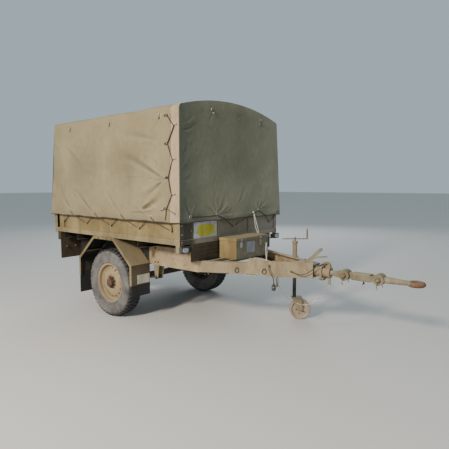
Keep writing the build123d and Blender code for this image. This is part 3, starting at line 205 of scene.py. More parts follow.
def rubber(name, base, dust, dusty, rough=0.8, tint=None):
    """Moulded rubber, plastic or rope, greyed by dust."""
    m = Look(name)
    broad, fine = m.clouds(7, 5, 0.65), m.clouds(120, 5, 0.7)
    grit = m.ranged(m.plus(broad, m.times(fine, 0.5)), 0.55, 0.95)
    colour = m.mixed(m.ranged(fine, 0.35, 0.7), base, shade(base, 1.5))
    colour = m.mixed(m.times(grit, dusty), colour, dust)
    if tint:
        colour = tint(m, colour)
    gloss = m.ranged(fine, 0.3, 0.7, rough - 0.1, rough + 0.12)
    m.finish(colour, gloss, m.bumped(broad, 0.2, 0.002, m.bumped(fine, 0.3, 0.0005)), {})


def cloth(name, base, faded, dirt):
    """Woven coated canvas: threads, slubs, creases, fading and stains. The folds' ridges are
    lighter, partly worn and partly painted highlight, and their furrows carry painted shade.
    The face towards the drawbar carries painted shade, darkest at the right, and what wraps
    round to the lacing carries painted light."""
    m = Look(name)
    flat = m.node("UVMap", uv_map="cloth").outputs[0]
    ahead, across, height = (m.axis(m.place, index) for index in range(3))
    wave = {"Vector": flat, "Scale": 185.0, "Distortion": 0.6, "Detail": 1.0}
    weave = m.plus(*(m.node("TexWave", wave, bands_direction=way).outputs[1] for way in "XY"))
    slub = m.plus(*(m.clouds(1, 2, place=flat, stretch=s) for s in ((600, 18, 1), (18, 600, 1))))
    broad, patch = m.clouds(1.3, 4, 0.6, 0.4), m.clouds(6.5, 5, 0.65, 0.6)
    run = m.clouds(1, 4, 0.6, stretch=(9, 9, 0.9))
    fold = m.node("Attribute", attribute_name="fold").outputs["Fac"]
    colour = m.mixed(m.ranged(broad, 0.35, 0.65), base, faded)
    for amount, layer in (
        (m.ranged(patch, 0.46, 0.72, 0, 0.55), shade(base, 0.76)),
        (m.ranged(run, 0.52, 0.78, 0, 0.3), dirt),
        (m.ranged(height, 1.45, 1.1, 0, 0.28), dirt),
        # Darker towards the top of the sides.
        (m.ranged(height, 1.80, 2.15, 0, 0.24), dirt),
        (m.ranged(slub, 0.8, 1.3, 0, 0.35), shade(faded, 1.25)),
        (m.ranged(weave, 0.5, 1.6, 0.22, 0), shade(base, 0.5)),
        # The folds' ridges lighter, partly worn and partly painted highlight; their furrows
        # painted shade.
        (m.ranged(fold, 0.15, 1.6, 0, 0.65), shade(faded, 1.2)),
        (m.ranged(fold, -0.15, -1.6, 0, 0.85), shade(base, 0.55)),
    ):
        colour = m.mixed(amount, colour, layer)
    # Painted shade on the face towards the drawbar, darkest at the right, lighter at the left.
    shade_across = m.mixed(m.ranged(across, -0.85, -0.45), (0.34, 0.45, 0.56), (0.83, 0.97, 1.12))
    shade_across = m.mixed(m.ranged(across, 0.2, 0.7), shade_across, (0.89, 1.04, 1.26))
    drawbar_face_shade = m.mixed(1.0, colour, shade_across, "MULTIPLY")
    # Painted light on the cloth that wraps round to the lacing.
    sunny = m.mixed(1.0, colour, (1.50, 1.38, 1.52), "MULTIPLY")
    colour = m.mixed(m.ranged(ahead, FRONT - 0.112, FRONT - 0.106), colour, sunny)
    colour = m.mixed(m.ranged(m.axis(m.facing(), 0), 0.45, 0.8), colour, drawbar_face_shade)
    bump = m.bumped(weave, 0.35, 0.0004)
    bump = m.bumped(slub, 0.3, 0.0005, bump)
    bump = m.bumped(m.clouds(26, 4, 0.55, 1.2, stretch=(1, 1, 1.6)), 0.6, 0.0035, bump)
    bump = m.bumped(m.clouds(5, 3, 0.5, 0.8), 0.7, 0.014, bump)
    numbers = {"Specular IOR Level": 0.25, "Sheen Weight": 0.12}
    m.finish(colour, m.ranged(patch, 0.3, 0.7, 0.72, 0.9), bump, numbers)


def lens(name, colour, rib_highlight):
    """Moulded plastic lens with fine ribs, a painted highlight along them."""
    m = Look(name)
    wave = {"Vector": m.place, "Scale": 45.0, "Distortion": 0.2}
    ribs = m.node("TexWave", wave, bands_direction="Y").outputs[1]
    grime = m.ranged(m.clouds(40, 5, 0.7), 0.45, 0.75, 0, 0.4)
    # Painted highlight along the ribs.
    ribbed = m.mixed(m.ranged(ribs, 0, 1, 0.0, 0.35), colour, rib_highlight)
    stained = m.mixed(grime, ribbed, (0.2, 0.17, 0.13))
    gloss = m.ranged(grime, 0, 0.4, 0.18, 0.5)
    m.finish(stained, gloss, m.bumped(ribs, 0.4, 0.001), {"Coat Weight": 0.4})


AXLE_X, AXLE_Z, WHEEL_Y = FRONT - 1.140, 0.380, 0.747


def wheel_radius(m):
    """Distance from the wheels' axis."""
    ahead = m.math("SUBTRACT", m.axis(m.place, 0), AXLE_X)
    above = m.math("SUBTRACT", m.axis(m.place, 2), AXLE_Z)
    return m.math("SQRT", m.plus(m.times(ahead, ahead), m.times(above, above)))


def rusty_centre(m, colour):
    """Red primer and rust round the hub, blotched at its edge, and painted shade near black behind
    the disc.
    """
    across = m.axis(m.place, 1)
    # Painted shade: near black on the rim's faces behind the disc that face inwards.
    behind = m.ranged(m.math("ABSOLUTE", across), 0.778, 0.773)
    inward = m.ranged(m.times(across, m.axis(m.facing(), 1)), 0.35, 0.20, 0, 0.95)
    colour = m.mixed(m.times(behind, inward), colour, (0.010, 0.009, 0.008))
    edge = m.plus(wheel_radius(m), m.times(m.clouds(30, 4), 0.03))
    return m.mixed(m.ranged(edge, 0.096, 0.084, 0, 0.85), colour, (0.20, 0.085, 0.05))


def dark_tread(m, colour):
    """The tread darker than the dusty side wall."""
    tread = m.ranged(wheel_radius(m), 0.347, 0.362, 0, 0.9)
    return m.mixed(tread, colour, (0.030, 0.031, 0.034))


def dark_front(m, colour):
    """The face towards the drawbar in dark green, lighter towards the left, with painted shade
    near black beside the right corner and painted light on the front board."""
    ahead, across = m.axis(m.place, 0), m.axis(m.place, 1)
    patch = m.ranged(m.clouds(14, 5, 0.65), 0.4, 0.65)
    dark = m.mixed(patch, (0.165, 0.142, 0.095), (0.235, 0.20, 0.14))
    dark = m.mixed(m.ranged(across, 0.25, 0.60, 0, 0.7), dark, (0.34, 0.29, 0.23))
    # Painted light: the front board lighter than the toolbox.
    dark = m.mixed(m.ranged(ahead, FRONT + 0.12, FRONT + 0.05, 0, 0.35), dark, (0.30, 0.265, 0.21))
    # Painted shade near black beside the right corner.
    dark = m.mixed(m.ranged(across, -0.60, -0.67, 0, 0.88), dark, (0.048, 0.040, 0.032))
    return m.mixed(m.ranged(m.axis(m.facing(), 0), 0.5, 0.85), colour, dark)


def rusty_ring(m, colour):
    """Bare rusty metal from the towing eye's neck forwards."""
    uneven = m.plus(m.axis(m.place, 0), m.times(m.clouds(25, 4), 0.05))
    blotch = m.ranged(m.clouds(60, 5), 0.4, 0.65)
    rust = m.mixed(blotch, (0.12, 0.06, 0.035), (0.2, 0.105, 0.055))
    return m.mixed(m.ranged(uneven, FRONT + 1.872, FRONT + 1.900), colour, rust)


def painted_shade_behind(m, colour):
    """Painted shade near black from the wheels backwards, rust blotches forwards."""
    rust = m.ranged(m.clouds(22, 6, 0.75), 0.56, 0.64, 0, 0.7)
    colour = m.mixed(rust, colour, (0.16, 0.085, 0.04))
    # Painted shade near black from the wheels backwards.
    behind = m.ranged(m.axis(m.place, 0), FRONT - 0.735, FRONT - 0.750)
    return m.mixed(behind, colour, (0.018, 0.017, 0.016))


def underseal_and_front_shade(m, colour):
    """Black underseal under the arches, and painted shade in dark brown over the faces towards the
    front.
    """
    forward, up = m.axis(m.facing(), 0), m.axis(m.facing(), 2)
    # Painted shade in dark brown on the faces towards the front.
    colour = m.mixed(m.ranged(forward, 0.55, 0.9, 0, 0.9), colour, (0.040, 0.026, 0.014))
    ahead = m.math("SUBTRACT", m.axis(m.place, 0), AXLE_X)
    inward = m.times(m.times(ahead, 4.0), forward)
    inside = m.math("MAXIMUM", m.ranged(inward, -0.3, -0.6), m.ranged(up, -0.02, -0.2))
    return m.mixed(inside, colour, (0.008, 0.009, 0.011))


DUST = (0.40, 0.33, 0.215)
paint("green_paint", (0.24, 0.205, 0.128), DUST, (0.17, 0.115, 0.06), 0.5, 0.55)
paint("rail_paint", (0.275, 0.222, 0.118), DUST, (0.62, 0.54, 0.40), 0.55, 1.0, edge=0.006,
      tint=dark_front)
paint("board_paint", (0.265, 0.20, 0.092), DUST, (0.40, 0.31, 0.18), 0.35, 0.5, tint=dark_front)
# Painted shade: near black green for the panel under the front and the light boards, which lie in
# shade.
paint("painted_shade_green", (0.074, 0.058, 0.039), (0.25, 0.2, 0.13), (0.2, 0.16, 0.1), 0.2, 0.4)
paint("sill_paint", (0.40, 0.305, 0.19), DUST, (0.42, 0.35, 0.22), 0.4, 0.6, tint=painted_shade_behind)
paint("beam_paint", (0.33, 0.255, 0.155), (0.44, 0.36, 0.25), (0.17, 0.10, 0.06), 0.5, 0.6)
paint("housing_paint", (0.275, 0.212, 0.130), (0.38, 0.31, 0.22), (0.16, 0.095, 0.055), 0.45, 0.8)
paint("mudguard_paint", (0.235, 0.18, 0.092), DUST, (0.16, 0.10, 0.055), 0.5, 0.6,
      tint=underseal_and_front_shade)
# Black paint, also laid on the floor bearers and cross members as painted shade.
paint("black_and_painted_shade", (0.028, 0.028, 0.026), (0.2, 0.17, 0.12), (0.12, 0.07, 0.04), 0.5, 0.6)
paint("rim_paint", (0.33, 0.248, 0.14), DUST, (0.16, 0.09, 0.05), 0.35, 0.6, tint=rusty_centre)
paint("toolbox_paint", (0.285, 0.21, 0.095), DUST, (0.40, 0.31, 0.17), 0.4, 0.5, tint=dark_front)
paint("eye_paint", (0.295, 0.255, 0.175), DUST, (0.17, 0.10, 0.06), 0.2, 0.5, 0.7, tint=rusty_ring)
paint("jockey_paint", (0.35, 0.265, 0.19), (0.5, 0.41, 0.31), (0.13, 0.065, 0.035), 0.6, 1.0)
paint("fork_paint", (0.25, 0.19, 0.115), (0.46, 0.37, 0.26), (0.12, 0.06, 0.03), 0.45, 1.0)
paint("floor_board", (0.19, 0.14, 0.085), (0.33, 0.28, 0.2), (0.28, 0.2, 0.12), 0.5, 0.4, 0.75)
paint("plate_paint", (0.62, 0.60, 0.50), (0.5, 0.45, 0.34), (0.35, 0.32, 0.26), 0.3, 0.4, 0.5)
paint("plate_yellow", (0.62, 0.56, 0.06), (0.6, 0.56, 0.35), (0.72, 0.70, 0.62), 0.3, 0.6, 0.5)
paint("plate_lilac", (0.55, 0.56, 0.66), (0.5, 0.47, 0.42), (0.35, 0.34, 0.34), 0.25, 0.5, 0.5)
paint("label_grey", (0.34, 0.35, 0.38), (0.3, 0.28, 0.24), (0.6, 0.6, 0.6), 0.2, 0.7, 0.5)
rubber("lagging", (0.26, 0.26, 0.25), (0.4, 0.38, 0.33), 0.4, 0.9)
rubber("tyre_rubber", (0.045, 0.043, 0.042), (0.23, 0.215, 0.20), 0.85, tint=dark_tread)
rubber("black_rubber", (0.012, 0.012, 0.013), (0.055, 0.052, 0.048), 0.25)
rubber("black_plastic", (0.03, 0.03, 0.03), (0.12, 0.11, 0.1), 0.3, 0.5)
rubber("tarred_rope", (0.035, 0.026, 0.019), (0.11, 0.085, 0.06), 0.5, 0.85)
rubber("white_rope", (0.60, 0.58, 0.54), (0.42, 0.38, 0.33), 0.4, 0.7)
rubber("thread", (0.16, 0.13, 0.08), (0.25, 0.21, 0.14), 0.4, 0.8)
rubber("painted_hole_shade", (0.008, 0.008, 0.008), (0.02, 0.018, 0.015), 0.3, 0.9)
metal("worn_steel", (0.40, 0.37, 0.32), (0.2, 0.16, 0.11), 0.45, 0.7, 60, (0.15, 0.09, 0.055))
metal("bright_steel", (0.62, 0.61, 0.58), (0.36, 0.34, 0.31), 0.32, 0.9)
metal("rusty_steel", (0.125, 0.070, 0.048), (0.075, 0.045, 0.034), 0.74, 0.2, 50,
      (0.17, 0.085, 0.05))
cloth("canvas", (0.255, 0.210, 0.118), (0.315, 0.258, 0.155), (0.175, 0.138, 0.070))
cloth("hem_canvas", (0.235, 0.192, 0.112), (0.285, 0.235, 0.145), (0.155, 0.12, 0.065))
lens("white_lens", (0.30, 0.29, 0.33), (0.75, 0.74, 0.80))
lens("red_lens", (0.22, 0.012, 0.012), (0.4, 0.03, 0.02))
lens("amber_lens", (0.42, 0.13, 0.01), (0.6, 0.25, 0.03))

# The look of a material slot whose name differs, and of the nodes that differ from their slot.
SLOT_LOOKS = {
    "tyre": "tyre_rubber", "rubber": "black_rubber", "steel": "worn_steel",
    "eye_steel": "eye_paint", "black_metal": "black_and_painted_shade", "floor_wood": "floor_board",
    "lamp": "black_plastic", "lamp_white": "black_plastic", "cable_steel": "bright_steel",
}
NODE_LOOKS = {
    "rim_paint": ("rim_right", "rim_left"), "toolbox_paint": ("toolbox", "toolbox_lid"),
    "jockey_paint": ("jockey_wheel",), "fork_paint": ("jockey_fork",),
    "green_paint": ("overrun_shaft", "first_knuckle_bolt", "second_knuckle_bolt"),
    "painted_shade_green": ("front_panel", "light_boards"), "sill_paint": ("chassis_rails",),
    # The floor bearers and cross members take the black as painted shade.
    "black_and_painted_shade": ("jockey_leg", "floor_bearers", "cross_members"),
    "rusty_steel": ("hub_right", "hub_left"), "mudguard_paint": ("mudguards",),
    "beam_paint": ("frame_beams", "head_gussets", "jockey_clamp"),
    "housing_paint": ("overrun_housing",),
}
slot_of = {part["node"]: part["material_slot"] for part in frame["record"]["subparts"]}
for name, obj in frame["nodes"].items():
    obj.data.materials.clear()
    obj.data.materials.append(LOOKS[SLOT_LOOKS.get(slot_of[name], slot_of[name])])
for look, names in NODE_LOOKS.items():
    for name in names:
        frame["nodes"][name].data.materials[0] = LOOKS[look]


# ---------------------------------------------------------------- mesh helpers
def riding(name, data, look, body="trailer", slot=None):
    """An object of a mesh or a curve, with its material, riding on its body."""
    data.materials.append(LOOKS[look])
    obj = bpy.data.objects.new(name, data)
    link(obj)
    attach(obj, body)
    return obj


class Shape:
    """Points and faces of one piece, gathered part by part."""

    def __init__(self):
        self.points, self.faces, self.smooth = [], [], []

    def add(self, points, faces, smooth=False):
        base = len(self.points)
        self.points += [tuple(p) for p in points]
        self.faces += [tuple(base + i for i in face) for face in faces]
        self.smooth += [smooth] * len(faces)

    def piece(self, name, look, body, slot, bevel=0.0):
        """Makes the object."""
        mesh = bpy.data.meshes.new(name)
        mesh.from_pydata(self.points, [], self.faces)
        mesh.polygons.foreach_set("use_smooth", self.smooth)
        work = bmesh.new()
        work.from_mesh(mesh)
        bmesh.ops.recalc_face_normals(work, faces=work.faces)
        work.to_mesh(mesh)
        work.free()
        obj = riding(name, mesh, look, body, slot)
        if bevel:
            rounding = obj.modifiers.new("edges", "BEVEL")
            rounding.width, rounding.segments = bevel, 2
            rounding.limit_method, rounding.angle_limit = "ANGLE", radians(40)
        return obj


def square_to(axis):
    """Two directions square to an axis."""
    axis = Vector(axis).normalized()
    helper = Vector((0, 0, 1)) if abs(axis.z) < 0.9 else Vector((1, 0, 0))
    first = helper.cross(axis).normalized()
    return first, axis.cross(first)


def lattice(rows, columns, spans):
    """The faces of rings of points, the last ring joined to the first."""
    starts = [(row * columns, (row + 1) % rows * columns) for row in range(rows)]
    return [(a + i, b + i, b + (i + 1) % columns, a + (i + 1) % columns)
            for a, b in starts for i in range(spans)]


def prism(shape, outline, origin, depth, smooth=False):
    """An outline across and up, pushed forwards by depth."""
    count = len(outline)
    foot = [origin + Vector((0, a, b)) for a, b in outline]
    points = foot + [p + Vector((depth, 0, 0)) for p in foot]
    sides = [(i, (i + 1) % count, count + (i + 1) % count, count + i) for i in range(count)]
    shape.add(points, [tuple(range(count))[::-1], tuple(range(count, 2 * count))])
    shape.add(points, sides, smooth)


def box(shape, centre, size, right=(1, 0, 0), up=(0, 0, 1)):
    """A block by its centre and its three sizes along right, across and up."""
    right, up = Vector(right).normalized(), Vector(up).normalized()
    deep = up.cross(right)
    a, b, c = size
    origin = Vector(centre) - deep * (b / 2)
    outline = [(-a / 2, -c / 2), (a / 2, -c / 2), (a / 2, c / 2), (-a / 2, c / 2)]
    foot = [origin + right * u + up * w for u, w in outline]
    sides = [(i, (i + 1) % 4, 4 + (i + 1) % 4, 4 + i) for i in range(4)]
    shape.add(foot + [p + deep * b for p in foot], [(3, 2, 1, 0), (4, 5, 6, 7)] + sides)


def lathe(shape, profile, origin, axis, steps, smooth=True, loop=False):
    """A profile of radius and distance turned about an axis."""
    axis, origin = Vector(axis).normalized(), Vector(origin)
    first, second = square_to(axis)
    points, rows = [], len(profile)
    for step in range(steps):
        angle = 2 * pi * step / steps
        out = first * cos(angle) + second * sin(angle)
        points += [origin + out * r + axis * a for r, a in profile]
    shape.add(points, lattice(steps, rows, rows if loop else rows - 1), smooth)


def frames_along(points):
    """Two steady cross directions along a line of points."""
    tangent = np.gradient(points, axis=0)
    tangent /= np.linalg.norm(tangent, axis=1)[:, None]
    first = np.array(square_to(tangent[0])[0])
    normals = []
    for t in tangent:
        first = first - t * (first @ t)
        first = first / np.linalg.norm(first)
        normals.append(first)
    normals = np.array(normals)
    return normals, np.cross(tangent, normals)


def tube(shape, points, radius, sides, caps=True):
    """A round tube along a line of points; radius is one number or one for each point."""
    points = np.asarray(points, float)
    count = len(points)
    first, second = frames_along(points)
    radius = np.broadcast_to(np.asarray(radius, float), count)
    angle = np.arange(sides) * 2 * pi / sides
    round_it = first[:, None] * np.cos(angle)[None, :, None]
    round_it = round_it + second[:, None] * np.sin(angle)[None, :, None]
    places = (points[:, None] + round_it * radius[:, None, None]).reshape(-1, 3)
    faces = []
    for here in range(0, (count - 1) * sides, sides):
        for j, k in zip(range(sides), [*range(1, sides), 0]):
            faces.append((here + j, here + k, here + sides + k, here + sides + j))
    if caps:
        faces += [tuple(range(sides))[::-1], tuple(range((count - 1) * sides, count * sides))]
    shape.add(places.tolist(), faces, True)


def ring(shape, centre, axis, radius, wire, steps=20, sides=6, tall=1.0):
    """A wire ring, or an oval one where tall isn't 1."""
    first, second = square_to(axis)
    axis, centre = Vector(axis).normalized(), Vector(centre)
    turns = [2 * pi * j / sides for j in range(sides)]
    points = []
    for i in range(steps):
        a = 2 * pi * i / steps
        middle = centre + first * (radius * cos(a)) + second * (radius * tall * sin(a))
        out = (middle - centre).normalized()
        points += [middle + out * (wire * cos(t)) + axis * (wire * sin(t)) for t in turns]
    shape.add(points, lattice(steps, sides, sides), True)


def bolt(shape, place, axis, size, height=None, washer=True, turn=0.0):
    """A hexagon head with a chamfered top on a washer."""
    axis, place = Vector(axis).normalized(), Vector(place)
    first, second = square_to(axis)
    height = height or size * 0.62
    lift = 0.0
    if washer:
        lift, wide = size * 0.12, size * 0.7
        lathe(shape, [(0, 0), (wide, 0), (wide, lift), (0, lift)], place, axis, 16, False)
    points = []
    for reach, rise in ((1, lift), (1, lift + height * 0.8), (0.84, lift + height)):
        for a in [turn + pi / 3 * i for i in range(6)]:
            out = (first * cos(a) + second * sin(a)) * (size * 0.58 * reach)
            points.append(place + out + axis * rise)
    faces = [tuple(range(12, 18))]
    for row in (0, 6):
        for i in range(6):
            faces.append((row + i, row + (i + 1) % 6, row + 6 + (i + 1) % 6, row + 6 + i))
    shape.add(points, faces)


def smooth_curve(name, points, resolution):
    """A curve of one NURBS spline steered by its points."""
    curve = bpy.data.curves.new(name, "CURVE")
    curve.dimensions = "3D"
    curve.resolution_u = resolution
    spline = curve.splines.new("NURBS")
    spline.points.add(len(points) - 1)
    for point, place in zip(spline.points, points):
        point.co = (*place, 1)
    spline.order_u = 3
    spline.use_endpoint_u = True
    return curve


def route(points, resolution=10):
    """The points of a smooth line that is steered by a few points."""
    curve = smooth_curve("route", points, resolution)
    obj = bpy.data.objects.new("route", curve)
    link(obj)
    bpy.context.view_layer.update()
    mesh = bpy.data.meshes.new_from_object(obj)
    found = np.array([v.co for v in mesh.vertices], float)
    bpy.data.objects.remove(obj)
    bpy.data.curves.remove(curve)
    bpy.data.meshes.remove(mesh)
    return found


def distances(points, axis=0):
    """How far each point is from the first along a line, or along one way of a grid."""
    gaps = np.linalg.norm(np.diff(points, axis=axis), axis=-1)
    return np.insert(np.cumsum(gaps, axis=axis), 0, 0, axis=axis)


def evenly(points, step):
    """A line of points spaced evenly."""
    points = np.asarray(points, float)
    gaps = np.linalg.norm(np.diff(points, axis=0), axis=1)
    points = points[np.concatenate([[True], gaps > 1e-7])]
    run = distances(points)
    count = max(3, int(round(run[-1] / step)) + 1)
    wanted = np.linspace(0, run[-1], count)
    return np.stack([np.interp(wanted, run, points[:, i]) for i in range(3)], axis=1)


def rope(shape, points, diameter, strands=3, pitch=3.4, step=0.005):
    """A laid rope along a line: its strands wind round each other."""
    line = evenly(points, step)
    first, second = frames_along(line)
    run = distances(line)
    for strand in range(strands):
        angle = 2 * pi * (strand / strands + run / (pitch * diameter))
        offset = first * np.cos(angle)[:, None] + second * np.sin(angle)[:, None]
        tube(shape, line + offset * diameter * 0.245, diameter * 0.27, 5)


# ---------------------------------------------------------------- cords
def cord_object(name, points, diameter, look):
    """A cord as a smooth curve steered by its route's points."""
    curve = smooth_curve(name, [at(*place) for place in points], 12)
    curve.bevel_depth = diameter / 2
    curve.bevel_resolution = 3
    curve.use_fill_caps = True
    obj = riding(name, curve, look)
    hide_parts(name)
    return obj


lead_route = (
    (0.63549, -0.27459, 0.69339), (0.64185, -0.28718, 0.67929), (0.65095, -0.29300, 0.66009),
    (0.66640, -0.28743, 0.63029), (0.68353, -0.27699, 0.59569), (0.69032, -0.27356, 0.55849),
    (0.69032, -0.27356, 0.53449),
)
lead = cord_object("electrical_lead", lead_route, 0.008, "black_rubber")

# The safety cable hangs in a catenary between its two lugs.
CABLE_LOW, CABLE_CURVE = 0.330, 0.178
cable_start, cable_end = (0.655, -0.215, 0.590), (1.128, 0.0, 0.541)
rises = [end[2] - CABLE_LOW for end in (cable_start, cable_end)]
spans = [CABLE_CURVE * acosh(1 + rise / CABLE_CURVE) for rise in rises]
arcs = [CABLE_CURVE * sinh(span / CABLE_CURVE) for span in spans]
cable_route = []
for step in range(13):
    along = CABLE_CURVE * asinh((sum(arcs) * step / 12 - arcs[0]) / CABLE_CURVE)
    share = (along + spans[0]) / sum(spans)
    x, y = (a + share * (b - a) for a, b in zip(cable_start[:2], cable_end))
    cable_route.append((x, y, CABLE_LOW + CABLE_CURVE * (cosh(along / CABLE_CURVE) - 1)))
brake_route = (
    (0.82896, -0.17687, 0.655), (0.850, -0.1794, 0.651), (0.878, -0.177, 0.642),
    (0.903, -0.1645, 0.632), (0.933, -0.149, 0.635), (0.962, -0.135, 0.648),
    (0.990, -0.119, 0.669), (1.016, -0.102, 0.693), (1.042, -0.084, 0.716),
    (1.070, -0.062, 0.734), (1.094, -0.040, 0.741), (1.110, -0.022, 0.741),
)
brake = cord_object("brake_cable", brake_route, 0.009, "black_plastic")

cable_line = evenly(route([at(*place) for place in cable_route]), 0.004)
strands = Shape()
rope(strands, cable_line, 0.0056, 6, 5.0, 0.004)
tube(strands, cable_line, 0.0011, 5)
cable = strands.piece("safety_cable_strands", "bright_steel", "trailer", "cable_steel")
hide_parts("safety_cable")


# ---------------------------------------------------------------- canvas
HEM, ROOF_FOOT, EAVE, CROWN = 1.117, 2.160, 2.222, 2.345
HALF, FLARE, REAR, REAR_FLARE, EAVE_RADIUS = 0.838, 0.036, 2.200, 0.070, 0.060
LACE, EDGE_RADIUS, REAR_HEM, WRAP_WIDTH = -0.107, 0.012, 1.299, 0.150
SAGITTA = CROWN - EAVE
ARC = (HALF ** 2 + SAGITTA ** 2) / (2 * SAGITTA)
ARC_MIDDLE = CROWN - ARC
FILLET_Z = ARC_MIDDLE + sqrt((ARC - EAVE_RADIUS) ** 2 - (HALF - EAVE_RADIUS) ** 2)
EAVE_TURN = asin((HALF - EAVE_RADIUS) / (ARC - EAVE_RADIUS))
FOLD_HEIGHT = 0.009
BOWS = (-0.330, -1.130, -1.930)

# Folds: where a fold starts, where it fades out, its width and its height.
SIDE_GAIN, FRONT_GAIN = 1.75, 0.95
SIDE_FOLDS = (
    (-1.815, 1.172, -2.10, 1.33, 0.016, 0.0085), (-1.829, 1.190, -2.07, 1.46, 0.022, -0.0085),
    (-1.80, 1.170, -1.93, 1.40, 0.020, 0.004), (-1.324, 1.165, -1.78, 1.44, 0.022, -0.0085),
    (-1.33, 1.162, -1.58, 1.36, 0.018, 0.006), (-0.842, 1.165, -1.16, 1.43, 0.022, -0.0095),
    (-0.842, 1.162, -1.04, 1.30, 0.018, 0.006), (-0.371, 1.166, -0.68, 1.30, 0.020, 0.007),
    (-0.50, 1.225, -0.215, 1.42, 0.026, -0.013), (-0.49, 1.205, -0.15, 1.335, 0.028, 0.013),
    (-0.235, 1.50, -0.50, 1.335, 0.020, -0.008), (-0.215, 1.53, -0.55, 1.38, 0.020, 0.006),
    (-0.195, 1.555, -0.95, 1.84, 0.035, -0.0075), (-0.195, 1.56, -0.60, 1.74, 0.030, 0.007),
    (-0.176, 1.865, -0.90, 2.05, 0.032, -0.006), (-0.176, 1.87, -0.62, 1.94, 0.026, 0.006),
    (-0.20, 1.545, -0.92, 1.575, 0.012, 0.004), (-0.20, 1.535, -0.80, 1.56, 0.011, -0.0045),
    (-0.295, 1.655, -0.36, 1.76, 0.018, -0.007), (-0.69, 1.185, -0.22, 1.212, 0.016, -0.006),
    (-0.217, 1.228, -0.45, 1.30, 0.016, 0.006), (-1.96, 1.95, -1.55, 1.67, 0.034, -0.004),
    (-0.150, 2.13, -0.30, 2.03, 0.015, -0.004), (-0.150, 2.13, -0.45, 2.11, 0.014, 0.004),
    (-1.825, 2.12, -1.70, 2.02, 0.02, 0.003), (-1.045, 2.12, -1.16, 2.0, 0.02, -0.003),
    (-0.26, 2.11, -0.40, 2.0, 0.02, -0.004), (-2.15, 1.25, -2.19, 1.75, 0.022, 0.006),
)
FRONT_FOLDS = (
    (-0.80, 2.03, -0.58, 2.14, 0.016, 0.006), (-0.79, 1.99, -0.50, 2.11, 0.018, -0.006),
    (-0.80, 1.96, -0.62, 2.02, 0.016, 0.005), (0.08, 2.20, 0.25, 2.28, 0.018, -0.006),
    (0.05, 2.18, 0.20, 2.25, 0.015, 0.005), (-0.15, 2.14, 0.24, 2.11, 0.014, 0.004),
    (-0.10, 2.12, 0.22, 2.09, 0.012, -0.004), (-0.36, 2.20, -0.42, 2.06, 0.02, -0.004),
    (0.49, 2.18, 0.55, 2.05, 0.02, -0.004), (-0.334, 1.17, -0.10, 1.31, 0.014, 0.007),
    (-0.334, 1.17, -0.03, 1.22, 0.013, -0.006), (-0.334, 1.17, -0.18, 1.36, 0.016, -0.006),
    (-0.334, 1.17, 0.05, 1.165, 0.012, 0.005), (-0.334, 1.17, -0.46, 1.33, 0.016, 0.006),
    (-0.334, 1.17, -0.55, 1.27, 0.016, -0.006), (-0.334, 1.17, -0.36, 1.40, 0.016, 0.005),
    (0.396, 1.186, 0.46, 1.30, 0.012, 0.008), (0.396, 1.186, 0.55, 1.30, 0.012, -0.008),
    (0.396, 1.186, 0.64, 1.30, 0.014, 0.008), (0.396, 1.186, 0.69, 1.22, 0.012, -0.007),
    (0.396, 1.186, 0.74, 1.175, 0.012, 0.006), (0.396, 1.186, 0.35, 1.33, 0.014, 0.006),
    (0.396, 1.186, 0.22, 1.28, 0.014, -0.006), (0.791, 1.168, 0.70, 1.32, 0.014, 0.006),
    (-0.731, 1.17, -0.62, 1.30, 0.014, 0.005), (-0.731, 1.17, -0.80, 1.40, 0.018, -0.006),
    (-0.82, 1.62, -0.70, 1.78, 0.018, 0.004), (-0.82, 1.50, -0.66, 1.60, 0.018, -0.004),
    (-0.80, 1.75, -0.72, 1.90, 0.015, -0.004), (0.02, 1.28, 0.20, 1.46, 0.03, -0.004),
)


def unit(value):
    """Kept between 0 and 1."""
    return np.clip(value, 0, 1)


def folds(u, w, table, gain):
    """The height of a table of folds over a grid."""
    total = np.zeros(np.broadcast(u, w).shape)
    for u0, w0, u1, w1, width, height in table:
        du, dw = u1 - u0, w1 - w0
        length = hypot(du, dw)
        along = ((u - u0) * du + (w - w0) * dw) / length ** 2
        off = ((w - w0) * du - (u - u0) * dw) / length
        off = off + 0.010 * np.sin(along * 5.0 + u0 * 40)
        spread = width * (0.30 + 0.95 * unit(along))
        fade = unit(along / 0.07) * unit((1 - along) / 0.85) * (along > 0)
        furrow = 0.55 * np.exp(-((off - 1.6 * spread) / spread) ** 2)
        total = total + gain * height * fade * (np.exp(-(off / spread) ** 2) - furrow)
    return total


def wobble(u, w, size, seed):
    """Smooth uneven waves of about one size, from -1 to 1."""
    random = np.random.default_rng(seed)
    total = 0
    for _ in range(9):
        angle, phase = random.uniform(0, pi), random.uniform(0, 2 * pi)
        pace = 2 * pi / (size * random.uniform(0.6, 1.6))
        total = total + np.sin((u * cos(angle) + w * sin(angle)) * pace + phase)
    return total / 5


def half_at(z):
    """Half the width of the tilt at a height."""
    return HALF + FLARE * np.clip((ROOF_FOOT - z) / (ROOF_FOOT - HEM), 0, None)


def front_at(z):
    """Place of the front curtain at a height."""
    return FLARE * (EAVE - z) / (EAVE - HEM)


def rear_at(z):
    """Place of the rear curtain at a height."""
    return -REAR - REAR_FLARE * (EAVE - z) / (EAVE - HEM)


def bay_at(x):
    """Distance from the nearest bow."""
    return np.min([np.abs(x - bow) for bow in BOWS], axis=0)


